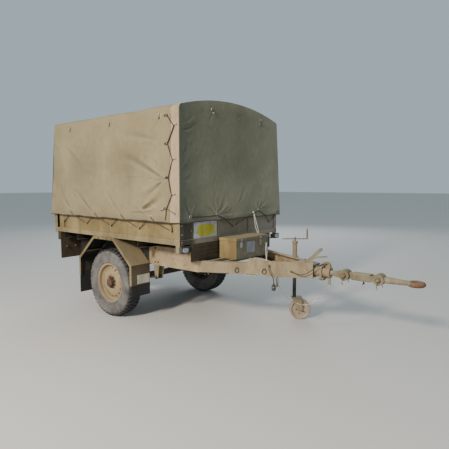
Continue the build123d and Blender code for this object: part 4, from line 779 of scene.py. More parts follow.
def side_push(x, z, side):
    """How far a side curtain stands out from its plane."""
    x, z = np.asarray(x, float), np.asarray(z, float)
    shift = 0.0 if side < 0 else 0.07
    held = unit((z - HEM) / 0.5) * unit((ROOF_FOOT - z) / 0.35)
    sag = -0.009 * held * unit(bay_at(x) / 0.35) ** 0.7
    hem = unit((1.26 - z) / 0.14) ** 1.5
    wave = 0.0045 * hem * np.sin((x + shift) * 2 * pi / 0.475 + 0.7)
    fine = 0.0009 * wobble(x, z, 0.12, 9 + side) * unit((z - 1.13) / 0.05)
    rough = 0.0022 * wobble(x, z, 0.45, 5 + side) + fine
    edge = unit((x - rear_at(z) - 0.005) / 0.05)
    lace = np.clip((LACE + 0.004 - x) / 0.03, 0.15, 1)
    pulls = folds(x + shift * (x > -1.7), z, SIDE_FOLDS, SIDE_GAIN)
    return (pulls * edge * lace + rough + wave * edge) * unit((2.175 - z) / 0.10) + sag


def front_push(y, z):
    """How far the front curtain stands out from its plane."""
    y, z = np.asarray(y, float), np.asarray(z, float)
    middle = np.clip(y, -0.8, 0.8)
    top = ARC_MIDDLE + np.sqrt(ARC ** 2 - middle ** 2)
    held = unit((top - z) / 0.12) * unit((0.86 - np.abs(y)) / 0.10)
    hem = unit((1.24 - z) / 0.12) ** 1.5
    belly = -0.010 * unit((z - 1.25) / 0.4) * held * np.cos(middle * 1.9)
    rough = 0.0022 * wobble(y, z, 0.4, 21) + 0.0008 * wobble(y, z, 0.11, 22)
    wave = 0.006 * hem * np.sin(y * 2 * pi / 0.38 + 1.0)
    return (folds(y, z, FRONT_FOLDS, FRONT_GAIN) + rough + wave) * held + belly


def rear_push(y, z):
    """How far the rear curtain stands out from its plane."""
    return front_push(-y * 0.97 + 0.02, z - 0.16) * 0.8


def hem_lift(u):
    """How far the hem rises between the eyelets that pull it down."""
    u = np.asarray(u)
    return 0.004 + 0.002 * np.sin(u * 2 * pi / 0.237 + 0.9) + 0.0025 * np.sin(u * 2 * pi / 0.61)


def grid_piece(name, points, fold, look, spread=None, keep=None):
    """A sheet over a grid of points, with a cloth map in metres and its folds stored."""
    rows, columns = points.shape[:2]
    index = np.arange(rows * columns).reshape(rows, columns)
    corners = [index[:-1, :-1], index[:-1, 1:], index[1:, 1:], index[1:, :-1]]
    quads = np.stack(corners, axis=-1).reshape(-1, 4)
    if keep is not None:
        quads = quads[keep.reshape(-1)[quads].all(axis=1)]
    used = np.unique(quads)
    place = np.full(rows * columns, -1)
    place[used] = np.arange(len(used))
    quads = place[quads]
    mesh = bpy.data.meshes.new(name)
    mesh.from_pydata(points.reshape(-1, 3)[used].tolist(), [], quads.tolist())
    mesh.polygons.foreach_set("use_smooth", [True] * len(mesh.polygons))
    if spread is None:
        spread = distances(points, 1), distances(points, 0)
    flat = [np.broadcast_to(run, (rows, columns)).reshape(-1)[used] for run in spread]
    layer = mesh.uv_layers.new(name="cloth")
    coordinates = np.stack(flat, axis=1)[quads.reshape(-1)]
    layer.data.foreach_set("uv", coordinates.astype(np.float32).ravel())
    attribute = mesh.attributes.new("fold", "FLOAT", "POINT")
    attribute.data.foreach_set("value", fold.reshape(-1)[used].astype(np.float32))
    return riding(name, mesh, look, "trailer", "canvas")


def tilt_section():
    """Rows of the tilt from the right hem over the crown to the left hem: y, z and the
    outward normal."""
    rows = []
    low, high = np.arange(HEM, 1.50, 0.0085), np.arange(1.50, ROOF_FOOT, 0.0135)
    for z in np.concatenate([low, high, [ROOF_FOOT, FILLET_Z]]):
        rows.append((-half_at(z), z, -1.0, FLARE / (ROOF_FOOT - HEM) if z < ROOF_FOOT else 0.0))
    for step in range(1, 9):
        a = pi - (pi / 2 - EAVE_TURN) * step / 8
        y = -HALF + EAVE_RADIUS + EAVE_RADIUS * cos(a)
        rows.append((y, FILLET_Z + EAVE_RADIUS * sin(a), cos(a), sin(a)))
    for step in range(1, 31):
        a = EAVE_TURN * (1 - step / 30)
        rows.append((-ARC * sin(a), ARC_MIDDLE + ARC * cos(a), -sin(a), cos(a)))
    return np.array(rows + [(-y, z, -ny, nz) for y, z, ny, nz in rows[:-1]][::-1])


# The sides and the roof: one sheet whose columns run from the rear edge to the lacing, and
# over the roof on to the front edge.
section = tilt_section()
rear_x, front_x = rear_at(section[:, 1]), front_at(section[:, 1])
TAIL = (0.0, 0.004, 0.008, 0.013, 0.02)
columns_x = [rear_x + t for t in TAIL]
columns_x += [rear_x + 0.02 + (LACE - rear_x - 0.02) * t for t in np.linspace(0.03, 1.0, 172)]
columns_x += [LACE + (front_x - LACE) * t for t in [*np.linspace(0, 0.88, 9)[1:], 0.92, 0.96, 1.0]]
grid_x = np.stack(columns_x, axis=1)
grid_y, grid_z, grid_ny, grid_nz = (
    np.broadcast_to(part[:, None], grid_x.shape) for part in section.T
)
push_side = np.where(grid_y < 0, side_push(grid_x, grid_z, -1), side_push(grid_x, grid_z, 1))
end_gap = np.minimum(grid_x - rear_at(grid_z), front_at(grid_z) - grid_x)
roof_push = -0.011 * unit(bay_at(grid_x) / 0.38) ** 1.3 * unit(end_gap / 0.12)
for height, size, seed in ((0.002, 0.4, 31), (0.0008, 0.1, 32)):
    roof_push = roof_push + height * wobble(grid_x, grid_y, size, seed)
on_roof = unit((grid_z - 2.15) / 0.07)
inside_edge = np.clip(EDGE_RADIUS - end_gap, 0, EDGE_RADIUS)
inset = EDGE_RADIUS - np.sqrt(np.clip(EDGE_RADIUS ** 2 - inside_edge ** 2, 0, None))
push = push_side * (1 - on_roof) + roof_push * on_roof - inset * 0.8
lift = np.where(grid_z < 1.16, hem_lift(grid_x) * unit((1.16 - grid_z) / 0.043), 0)
main_points = [FRONT + grid_x, grid_y + grid_ny * push, grid_z + grid_nz * push + lift]
tilt_main = grid_piece(
    "tilt_sides_and_roof", np.stack(main_points, axis=-1), push_side / FOLD_HEIGHT, "canvas",
    (grid_x + 2.3, distances(section[:, :2])[:, None]),
    (grid_x <= LACE + 1e-6) | (grid_z >= 2.148),
)
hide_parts("canvas_roof", "canvas_sides")


def curtain_top(y):
    """Where an end curtain ends under the roof, at a distance from the middle."""
    if y < HALF - EAVE_RADIUS - 0.017:
        return ARC_MIDDLE + sqrt(ARC ** 2 - y ** 2) - 0.004
    over = min(max(y - (HALF - EAVE_RADIUS), 0), EAVE_RADIUS)
    return FILLET_Z + sqrt(EAVE_RADIUS ** 2 - over ** 2) - 0.003


def end_sheet(name, plane, facing, hem, wrap, push_of):
    """An end curtain: its face, its rounded corners and, for the front, what wraps round to
    the lacing."""
    turns = np.linspace(0, pi / 2 if wrap else pi / 4, 5 if wrap else 3)[1:]
    wraps = np.linspace(0.012, wrap, 12) if wrap else []
    columns = [("wrap", -1, w) for w in wraps[::-1]] + [("corner", -1, a) for a in turns[::-1]]
    columns += [("face", 0, s) for s in np.linspace(-1, 1, 150)]
    columns += [("corner", 1, a) for a in turns] + [("wrap", 1, w) for w in wraps]
    low = (np.arange(hem, hem + 0.40, 0.0085) - hem) / (CROWN - hem)
    shares = np.concatenate([low, np.linspace(low[-1], 1, 60)[1:]])
    points, fold = [], []
    for kind, side, amount in columns:
        y_top = amount * (HALF - EDGE_RADIUS) if kind == "face" else side * HALF
        top = 2.168 if kind == "wrap" else curtain_top(abs(y_top))
        z = hem + (top - hem) * shares
        half, x = half_at(z), plane(z)
        if kind == "face":
            y = amount * (half - EDGE_RADIUS)
            push = push_of(y, z)
            x = x + facing * push
        elif kind == "corner":
            push = z * 0
            x = x - facing * EDGE_RADIUS * (1 - cos(amount))
            y = side * (half - EDGE_RADIUS * (1 - sin(amount)))
        else:
            x = x - facing * (EDGE_RADIUS + amount)
            push = side_push(np.minimum(x, -0.02), z, side) * 0.35 * unit(amount / 0.03)
            push = push + 0.0015 * wobble(x * 3, z, 0.16, 41)
            y = side * (half - unit((amount - 0.088) / 0.02) * 0.006 + push)
        lift = hem_lift(y if kind == "face" else x) * unit((hem + 0.043 - z) / 0.043)
        points.append(np.stack([FRONT + x, y, z + lift], axis=-1))
        fold.append(push / FOLD_HEIGHT)
    return grid_piece(name, np.stack(points, axis=1), np.stack(fold, axis=1), "canvas")


tilt_front = end_sheet("tilt_front_curtain", front_at, 1, HEM, WRAP_WIDTH, front_push)
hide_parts("canvas_front")
tilt_rear = end_sheet("tilt_rear_curtain", rear_at, -1, REAR_HEM, 0, rear_push)
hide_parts("canvas_rear")


def on_side(side):
    """Gives the places on the outside of one side curtain."""
    def place(x, z, out=0.0):
        return at(x, side * (half_at(z) + float(side_push(x, z, side)) + out), z)
    return place


def on_front(y, z, out=0.0):
    """A place on the outside of the front curtain."""
    return at(front_at(z) + float(front_push(y, z)) + out, y, z)


def on_rear(y, z, out=0.0):
    """A place on the outside of the rear curtain."""
    return at(float(rear_at(z)) - float(rear_push(y, z)) - out, y, z)


def lifted(place, u, z, out):
    """A place near the foot of a curtain, raised as its hem is."""
    return place(u, z, out) + Vector((0, 0, float(hem_lift(u))))


def band(name, rows):
    """A strip of cloth over rows of places."""
    points = np.array(rows)
    return grid_piece(name, points, np.zeros(points.shape[:2]), "hem_canvas")


# The turned hems: under the foot, up the outside and over the top edge.
HEM_ROWS = (
    (0.012, -0.002), (-0.0015, -0.0015), (-0.002, 0.0022), (0.006, 0.0022), (0.022, 0.0028),
    (0.044, 0.0022), (0.0452, 0.0004),
)
side_line = np.linspace(float(rear_at(HEM)) + 0.004, LACE - 0.001, 170)
hems = [
    band(f"hem_{name}", [[lifted(place, u, HEM + dz, out) for u in line] for dz, out in HEM_ROWS])
    for name, place, line in (
        ("right", on_side(-1), side_line), ("left", on_side(1), side_line),
        ("front", on_front, np.linspace(-0.86, 0.86, 140)),
    )
]


# ---------------------------------------------------------------- ropes, eyelets and stitches
def outward(place, u, z):
    """The direction a curtain faces at a place."""
    step = 0.006
    along = place(u + step, z) - place(u - step, z)
    up = place(u, z + step) - place(u, z - step)
    return along.cross(up).normalized()


def eyelet(place, u, z, flip=1):
    """A metal eyelet pressed into the cloth, with a near black disc in its hole as painted shade.
    """
    normal = outward(place, u, z) * flip
    centre = place(u, z) + normal * 0.0016
    rim = [(0.0078, -0.001), (0.0082, 0.002), (0.0115, 0.0034), (0.0150, 0.002), (0.0158, -0.001)]
    hole = [(0, 0.0012), (0.0080, 0.0012), (0.0080, -0.002), (0, -0.002)]
    lathe(rims, rim, centre, normal, 20, True, True)
    # A near black disc as painted shade in the hole.
    lathe(holes, hole, centre, normal, 14, False)


def over_cloth(place, corners, out):
    """A line laid over the cloth through corners."""
    line = []
    for (u0, z0), (u1, z1) in zip(corners, corners[1:]):
        count = max(2, int(hypot(u1 - u0, z1 - z0) / 0.012))
        shares = [i / count for i in range(count)]
        line += [place(u0 + (u1 - u0) * s, z0 + (z1 - z0) * s, out) for s in shares]
    return line + [place(*corners[-1], out)]


def stitch_row(line):
    """Short raised stitches along a line."""
    step, pitch, length, thick = 0.002, 0.0085, 0.0052, 0.0008
    points = evenly(line, step)
    for start in np.arange(0.004, step * (len(points) - 1) - length, pitch):
        i, j = int(start / step), int((start + length) / step)
        stitch = [points[i], (points[i] + points[j]) / 2, points[j]]
        tube(stitches, stitch, [thick * 0.4, thick, thick * 0.4], 5, False)


rims, holes, tarred, stitches = Shape(), Shape(), Shape(), Shape()
ROPE, LOOP_ROPE, STUB_ROPE = 0.0085, 0.006, 0.0065
ON_CLOTH, HEM_THREAD, FLAT_THREAD = 0.0065, 0.0032, 0.0009
EYE_Z, PEG_Y, PEG_FOOT, PEG_TOP = 1.165, 0.8365, 1.0235, 1.034
SIDE_HOOKS = (-2.022, -1.538, -1.066, -0.589, -0.111)
SIDE_EYES = (-1.809, -1.324, -0.842, -0.371)
REAR_LACES = ((-0.147, 2.135), (-0.174, 1.863), (-0.195, 1.543), (-0.217, 1.226))
FRONT_LACES = ((-0.019, 2.036), (-0.019, 1.719), (-0.019, 1.388), (-0.022, 1.203))
LACE_BENDS = (
    (-0.152, 2.128), (-0.058, 2.022), (-0.142, 1.864), (-0.074, 1.708), (-0.128, 1.543),
    (-0.077, 1.374), (-0.139, 1.248), (-0.153, 1.140),
)
LACE_LOOP = (
    (0.002, 0.004, 0.007), (-0.020, 0.012, 0.0055), (-0.038, 0.006, 0.005),
    (-0.040, -0.006, 0.005), (-0.022, -0.010, 0.0055), (0.002, -0.003, 0.007),
)
TOP_EYES = (-1.825, -1.045, -0.259)
TOP_LOOP = (
    (0.0, 2.146, 0.0), (0.003, 2.138, 0.009), (0.002, 2.118, 0.010), (-0.004, 2.098, 0.008),
    (-0.006, 2.109, 0.006), (-0.002, 2.118, 0.0),
)
STITCH_ROWS = (HEM + 0.010, HEM + 0.038)
for name, side in SIDES:
    place = on_side(side)
    line = [
        (-2.020, 0.842, 0.960), (-2.016, 0.843, 0.990), (-2.026, 0.840, 1.018),
        (-2.033, PEG_Y, 1.040), (-2.022, PEG_Y, 1.049), (-2.011, PEG_Y, 1.035),
        (-2.022, PEG_Y, PEG_FOOT),
    ]
    line = [at(x, side * y, z) for x, y, z in line]
    for hook, eye, following in zip(SIDE_HOOKS, SIDE_EYES, SIDE_HOOKS[1:]):
        line += [at(x, side * y, z) for x, y, z in (
            (hook + 0.014, PEG_Y, PEG_TOP), (hook + 0.09, 0.845, 1.095),
            (eye - 0.03, 0.862, 1.150), (eye - 0.004, 0.868, 1.164),
        )]
        line += [
            place(eye + 0.003, EYE_Z - 0.002, 0.008), place(eye + 0.02, EYE_Z - 0.014, ON_CLOTH),
            place(eye + 0.055, 1.125, ON_CLOTH),
        ]
        line += [at(x, side * y, z) for x, y, z in (
            (eye + 0.085, 0.868, 1.102), (following - 0.016, PEG_Y + 0.001, PEG_TOP),
            (following - 0.004, PEG_Y, PEG_FOOT),
        )]
    hook = SIDE_HOOKS[-1]
    line += [at(hook + dx, side * y, z) for dx, y, z in (
        (0.011, PEG_Y, 1.031), (0.010, 0.842, 1.060), (0.004, 0.852, 1.112),
        (-0.003, 0.864, 1.165),
    )]
    rope(tarred, route(line, 8), ROPE)
    # The lacing, its doubled stretch and the stubs to its eyelets.
    for corners in zip(LACE_BENDS, LACE_BENDS[1:]):
        rope(tarred, over_cloth(place, corners, 0.0066), 0.0105)
    rope(tarred, over_cloth(place, [(-0.052, 2.015), (-0.134, 1.872)], 0.0125), ROPE)
    stubs = [*zip(LACE_BENDS[1:7:2], FRONT_LACES), *zip(LACE_BENDS[::2], REAR_LACES)]
    for corners in stubs + [(LACE_BENDS[6], FRONT_LACES[3])]:
        rope(tarred, over_cloth(place, corners, 0.0062), STUB_ROPE)
    for u, z in LACE_BENDS[:-1:2]:
        loop = [place(u + du, z + dz, out) for du, dz, out in LACE_LOOP]
        rope(tarred, route(loop, 8), STUB_ROPE)
    # A dark bolt rope along the foot of the hem, which also stands in for the shade under the hem.
    edge = np.arange(float(rear_at(HEM)) + 0.012, LACE - 0.004, 0.012)
    rope(tarred, [lifted(place, u, HEM - 0.004, 0.0012) for u in edge], ROPE)
    for bend in LACE_BENDS[:-1]:
        ring(tarred, place(*bend, ON_CLOTH), outward(place, *bend), 0.0058, 0.0044, 12)
    for u, z in [*((x, EYE_Z) for x in SIDE_EYES), *REAR_LACES, *FRONT_LACES]:
        eyelet(place, u, z, -side)
    for u in TOP_EYES:
        for z in (2.118, 2.146):
            eyelet(place, u, z, -side)
        rope(tarred, route([place(u + du, z, out) for du, z, out in TOP_LOOP], 8), LOOP_ROPE)
    for z in STITCH_ROWS:
        stitch_row([lifted(place, u, z, HEM_THREAD) for u in np.arange(-2.24, LACE, 0.01)])
    for gap in (0.004, 0.016):
        heights = np.arange(HEM + 0.05, 2.14, 0.01)
        stitch_row([place(LACE - gap, z, FLAT_THREAD) for z in heights])

# The front rope runs over the cloth between its eyelets and down to a hook between them.
FRONT_EYES = (
    (-0.731, 1.170), (-0.334, 1.168), (0.396, 1.186), (0.791, 1.168), (-0.364, 2.232),
    (-0.333, 2.197), (0.491, 2.222), (0.481, 2.175),
)
front_rope = [at(-0.006, -0.800, 1.120), at(0.012, -0.775, 1.150)]
for over, free in (
    (((-0.733, 1.168, 0.008), (-0.69, 1.172), (-0.53, 1.160), (-0.38, 1.166),
      (-0.337, 1.168, 0.008), (-0.29, 1.150), (-0.20, 1.118)),
     ((0.014, -0.10, 1.066), (0.005, -0.038, PEG_TOP), (0.005, -0.022, PEG_FOOT),
      (0.005, -0.006, PEG_TOP), (0.014, 0.06, 1.066))),
    (((0.20, 1.122), (0.33, 1.165), (0.394, 1.185, 0.008), (0.44, 1.166), (0.54, 1.118)),
     ((0.014, 0.62, 1.066), (0.005, 0.669, PEG_TOP), (0.005, 0.685, PEG_FOOT),
      (0.005, 0.701, PEG_TOP), (0.016, 0.74, 1.085))),
    (((0.775, 1.140), (0.791, 1.168, 0.006)), ()),
):
    front_rope += [on_front(*(*spot, ON_CLOTH)[:3]) for spot in over]
    front_rope += [at(*spot) for spot in free]
rope(tarred, route(front_rope, 8), ROPE)
# A dark bolt rope along the foot of the front hem, which also stands in for the shade under the
# hem.
edge = np.arange(-0.852, 0.853, 0.012)
rope(tarred, [lifted(on_front, u, HEM - 0.004, 0.0012) for u in edge], ROPE)
for u, z in FRONT_EYES:
    eyelet(on_front, u, z)
FRONT_LOOP = (
    (-0.012, 0.035, 0.0), (-0.004, 0.030, 0.009), (0.008, 0.008, 0.010), (0.010, -0.022, 0.008),
    (0.006, -0.01, 0.006), (0.014, 0, 0.0),
)
for u, z in ((-0.35, 2.197), (0.486, 2.175)):
    loop = [on_front(u + du, z + dz, out) for du, dz, out in FRONT_LOOP]
    rope(tarred, route(loop, 8), LOOP_ROPE)
for z in STITCH_ROWS:
    stitch_row([lifted(on_front, u, z, HEM_THREAD) for u in np.arange(-0.85, 0.851, 0.01)])

for u in (-0.70, -0.35, 0.0, 0.35, 0.70):
    eyelet(on_rear, u, 1.345, -1)
for z in (1.309, 1.337):
    stitch_row([on_rear(u, z, FLAT_THREAD) for u in np.arange(-0.82, 0.821, 0.01)])
for u in (-0.42, 0.42):
    rope(tarred, [on_rear(u, z, 0.004) for z in np.arange(1.33, 2.16, 0.02)], 0.007)

tarred.piece("tilt_ropes", "tarred_rope", "trailer", "rubber")
stitches.piece("tilt_stitches", "thread", "trailer", "canvas")

# Tapes sewn beside the front corners.
TAPE_ROWS = (
    (0.0128, 0.0002), (0.0135, 0.0022), (0.030, 0.0024), (0.052, 0.0022), (0.0535, 0.0002),
)
tape_heights = np.arange(HEM + 0.055, 2.150, 0.012)
for name, side in SIDES:
    place = on_side(side)
    band(f"corner_tape_{name}", [[place(front_at(z) - gap, z, out) for z in tape_heights]
                                 for gap, out in TAPE_ROWS])


# ---------------------------------------------------------------- tyres and wheels
OUTER_PROFILE = (
    (0.2135, 0.066), (0.219, 0.0735), (0.226, 0.079), (0.232, 0.0835), (0.236, 0.0875),
    (0.239, 0.0875), (0.242, 0.085), (0.262, 0.0915), (0.2645, 0.0935), (0.268, 0.0935),
    (0.2705, 0.0925), (0.292, 0.095), (0.312, 0.0945), (0.330, 0.0915), (0.3325, 0.0935),
    (0.337, 0.0925), (0.339, 0.0895), (0.350, 0.084), (0.359, 0.076), (0.364, 0.066),
    (0.3665, 0.045), (0.368, 0.0),
)
INNER_PROFILE = ((0.352, 0.0), (0.345, 0.068), (0.300, 0.084), (0.250, 0.078), (0.2145, 0.058))
# Blocks of tread: offset from the middle, low and high edge in block widths, top and base
# radius. Every other shoulder block has the last row as well.
SHOULDER_BLOCK = (
    (0.044, -0.55, 0.75, 0.3792, 0.3630), (0.056, -0.9, 0.9, 0.3790, 0.3630),
    (0.072, -1, 1, 0.3752, 0.3585), (0.0845, -1, 1, 0.3610, 0.3480),
    (0.0915, -0.8, 0.8, 0.3480, 0.3400),
)
MIDDLE_BLOCK = (
    (0.006, -1.15, 0.45, 0.3798, 0.3660), (0.020, -0.55, 1.05, 0.3798, 0.3655),
    (0.033, -1.0, 0.5, 0.3795, 0.3645),
)
LUGS = 46
PITCH = 2 * pi / LUGS


def rim_spot(centre, radius, angle, offset):
    """A place round a wheel."""
    return centre + Vector((radius * cos(angle), offset, radius * sin(angle)))


def lug(shape, centre, side, middle, stations):
    """One block of tread, lofted across the tyre."""
    points, wide = [], PITCH * 0.30
    for offset, low, high, top, foot in stations:
        low, high = middle + wide * low, middle + wide * high
        for angle, radius in ((low, foot), (low, top), (high, top), (high, foot)):
            points.append(rim_spot(centre, radius, angle, side * offset))
    faces = [(0, 1, 2, 3), tuple(range(len(points) - 4, len(points)))[::-1]]
    for row in range(0, len(points) - 4, 4):
        for i, j in ((0, 1), (1, 2), (2, 3), (3, 0)):
            faces.append((row + i, row + 4 + i, row + 4 + j, row + j))
    shape.add(points, faces)


outer_loop = list(OUTER_PROFILE) + [(r, -o) for r, o in OUTER_PROFILE[-2::-1]]
inner_loop = [(r, -o) for r, o in INNER_PROFILE[::-1]] + list(INNER_PROFILE[1:])
for name, side in SIDES:
    centre = Vector((AXLE_X, side * WHEEL_Y, AXLE_Z))
    out = (0, side, 0)
    body = f"wheel_{name}"
    carcass, tread, nuts, stem = Shape(), Shape(), Shape(), Shape()
    lathe(carcass, outer_loop + inner_loop, centre, out, 112, True, True)
    for index in range(LUGS):
        a, odd = index * PITCH, index % 2
        for way in (1, -1):
            b = a + (0 if way > 0 else PITCH / 2)
            lug(tread, centre, side * way, b, SHOULDER_BLOCK[:5 if odd else 4])
            lug(tread, centre, side * way, b + PITCH * 0.35, MIDDLE_BLOCK)
        if odd:
            a += PITCH / 2
            for y in (-0.084, 0.084):
                box(tread, rim_spot(centre, 0.3455, a, side * y), (0.012, 0.004, 0.003),
                    (-sin(a), 0, cos(a)), (cos(a), 0, sin(a)))
    carcass_piece = carcass.piece(f"tyre_carcass_{name}", "tyre_rubber", body, "tyre")
    tread.piece(f"tyre_tread_{name}", "tyre_rubber", body, "tyre", 0.0008)
    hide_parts(f"tyre_{name}")
    for index in range(8):
        a = 2 * pi * index / 8 + pi / 8
        seat = rim_spot(centre, 0.0592, a, side * 0.0442)
        bolt(nuts, seat, out, 0.0175, 0.013, True, a)
        tube(nuts, [seat, seat + Vector((0, side * 0.020, 0))], 0.0046, 10)
    nuts.piece(f"wheel_nuts_{name}", "black_and_painted_shade", body, "steel", 0.0005)
    foot = rim_spot(centre, 0.1985, radians(52), side * 0.060)
    bends = [(0, 0, 0), (0, side * 0.012, 0), (-0.004, side * 0.026, -0.005)]
    tube(stem, [foot + Vector(bend) for bend in bends], 0.0032, 8)
    cap = [(0, 0.014), (0.0042, 0.014), (0.0046, 0.010), (0.0046, 0.0), (0, 0)]
    cap_foot = foot + Vector((-0.004, side * 0.024, -0.005))
    lathe(stem, cap, cap_foot, (-0.2, side, -0.25), 12)
    stem.piece(f"valve_{name}", "black_rubber", body, "rubber")


# ---------------------------------------------------------------- lamps, plates, toolbox fittings
def rounded(half_wide, half_high, power, steps=40):
    """A soft-cornered outline."""
    def bend(v):
        return abs(v) ** (2 / power) * (1 if v > 0 else -1)
    turns = [2 * pi * i / steps for i in range(steps)]
    return [(half_wide * bend(cos(a)), half_high * bend(sin(a))) for a in turns]


AHEAD, BEHIND = (1, 0, 0), (-1, 0, 0)
FOG_LENS = [(0, 0.006), (0.026, 0.006), (0.030, 0.003), (0.030, -0.001), (0, -0.001)]
LAMP_LENS = [(0, 0.0085), (0.015, 0.0078), (0.028, 0.0058), (0.037, 0.002), (0.0395, -0.001),
             (0, -0.001)]
LAMP_LIGHT = [(0, 0.012), (0.014, 0.010), (0.019, 0.004), (0.020, 0), (0, 0)]
LAMP_BACK = [(0, 0.024), (0.010, 0.022), (0.013, 0.012), (0.016, 0.0), (0, 0)]
RAIL_RIVET = [(0, 0.0035), (0.004, 0.0033), (0.007, 0.002), (0.008, 0), (0, 0)]
PLATE_RIVET = [(0, 0.003), (0.003, 0.0028), (0.0055, 0.0015), (0.006, 0), (0, 0)]
LABEL_RIVET = [(0, 0.0022), (0.0025, 0.002), (0.004, 0.0008), (0.0044, 0), (0, 0)]
LATCH_RIVET = [(0, 0.002), (0.003, 0.0018), (0.0045, 0), (0, 0)]
LATCH_KNOB = [(0, 0.008), (0.014, 0.008), (0.016, 0.005), (0.016, 0), (0, 0)]
WHEEL_RIVET = [(0, 0.003), (0.004, 0.0027), (0.0065, 0.001), (0.007, -0.002), (0, -0.002)]
NIPPLE = [(0.0055, 0), (0.0055, 0.005), (0.003, 0.007), (0.003, 0.010), (0.0042, 0.012),
          (0.002, 0.015), (0, 0.015)]
ARM_CAP = [(0, 0.006), (0.010, 0.006), (0.011, 0.001), (0.011, -0.002), (0, -0.002)]

front_lenses, brackets, reds, ambers, dark_bits = (Shape() for _ in range(5))
bolts, rust_bolts, plain, pale_bits, field = (Shape() for _ in range(5))
border, label, latch, keeper, cordage = (Shape() for _ in range(5))
LAMP_Y, LAMP_Z = 0.7985, 0.855
REAR_LAMP_Z, LIGHT_BOARD = 0.700, -2.1195
for _, side in SIDES:
    out = (0, side, 0)
    spot = at(0.0355, side * LAMP_Y, LAMP_Z)
    prism(front_lenses, rounded(0.036, 0.022, 3), spot, 0.0065, True)
    outline = [(-0.022, -0.024), (0.022, -0.020), (0.022, 0.026), (-0.022, 0.026)]
    prism(brackets, outline, at(0.002, side * 0.728, 0.858), 0.026)
    for y in (-0.040, 0.040):
        spot = at(0.0362, side * LAMP_Y + y, LAMP_Z - 0.024)
        bolt(dark_bits, spot, AHEAD, 0.006, 0.002, False)
    for y, shape in ((0.758, reds), (0.638, ambers)):
        lathe(shape, LAMP_LENS, at(-2.162, side * y, REAR_LAMP_Z), BEHIND, 36)
        ring(dark_bits, at(-2.1625, side * y, REAR_LAMP_Z), AHEAD, 0.0415, 0.0022, 36)
        lathe(dark_bits, LAMP_BACK, at(LIGHT_BOARD, side * y, REAR_LAMP_Z), AHEAD, 18)
    lathe(reds, FOG_LENS, at(-2.124, side * 0.800, 0.622), BEHIND, 28)
    lathe(pale_bits, LAMP_LIGHT, at(LIGHT_BOARD, side * 0.706, 0.839), AHEAD, 20)
    # Rivets of the edge rail and bolts of the posts
    for x in (-2.05, -1.72, -1.40, -1.02, -0.64, -0.43, -0.10):
        lathe(plain, RAIL_RIVET, at(x, side * 0.8378, 0.922), out, 14)
    for z in (0.925, 1.00, 1.09):
        bolt(rust_bolts, at(-2.169, side * 0.8058, z), out, 0.015)
        bolt(bolts, at(0.0002, side * 0.811, z), AHEAD, 0.013)
    # Bolts of the sill under each bearer, and of the spring hangers
    for x in (-0.060, -0.640, -1.020, -1.400, -1.780, -2.065):
        bolt(rust_bolts, at(x, side * 0.5772, 0.792), out, 0.015)
    for x in (-1.660, -0.620):
        bolt(rust_bolts, at(x, side * 0.590, 0.473), out, 0.024, 0.014)
        for dx in (-0.024, 0.024):
            bolt(rust_bolts, at(x + dx, side * 0.5772, 0.64), out, 0.014)
    # Bolts of the mud flap, seen from behind, and of the mudguard
    for y in (0.62, 0.72, 0.82):
        bolt(rust_bolts, at(-1.7012, side * y, 0.424), BEHIND, 0.013)
    for x in (-1.30, -1.14, -1.06):
        bolt(rust_bolts, at(x, side * 0.8482, 0.878), out, 0.012)

# The plate on the front board, and the toolbox's label, latches and keepers
prism(field, rounded(0.1445, 0.0635, 2.4), at(-0.0079, -0.4545, 1.0235), 0.0006)
prism(border, rounded(0.170, 0.078, 14), at(-0.00795, -0.460, 1.030), 0.0003)
for y in (-0.62, -0.30):
    for z in (0.962, 1.098):
        lathe(plain, PLATE_RIVET, at(-0.0078, y, z), AHEAD, 12)
outline = [(-0.0705, -0.060), (0.0705, -0.060), (0.0705, 0.060), (-0.0705, 0.060)]
prism(label, outline, at(0.2478, -0.0375, 0.827), 0.0012)
for y in (-0.100, 0.025):
    for z in (0.775, 0.879):
        lathe(plain, LABEL_RIVET, at(0.2489, y, z), AHEAD, 10)
BAIL = ((-0.010, 0.868), (-0.010, 0.900), (-0.004, 0.9035), (0.004, 0.9035), (0.010, 0.900),
        (0.010, 0.868))
for y in (-0.205, 0.135):
    box(latch, at(0.2492, y, 0.862), (0.0024, 0.038, 0.056))
    prism(latch, rounded(0.013, 0.024, 4, 24), at(0.2505, y, 0.858), 0.006, True)
    tube(latch, route([at(0.2525, y + dy, z) for dy, z in BAIL], 6), 0.0018, 6)
    box(keeper, at(0.2568, y, 0.916), (0.0030, 0.026, 0.016))
    tube(keeper, [at(0.2605, y - 0.012, 0.913), at(0.2605, y + 0.012, 0.913)], 0.0028, 8)

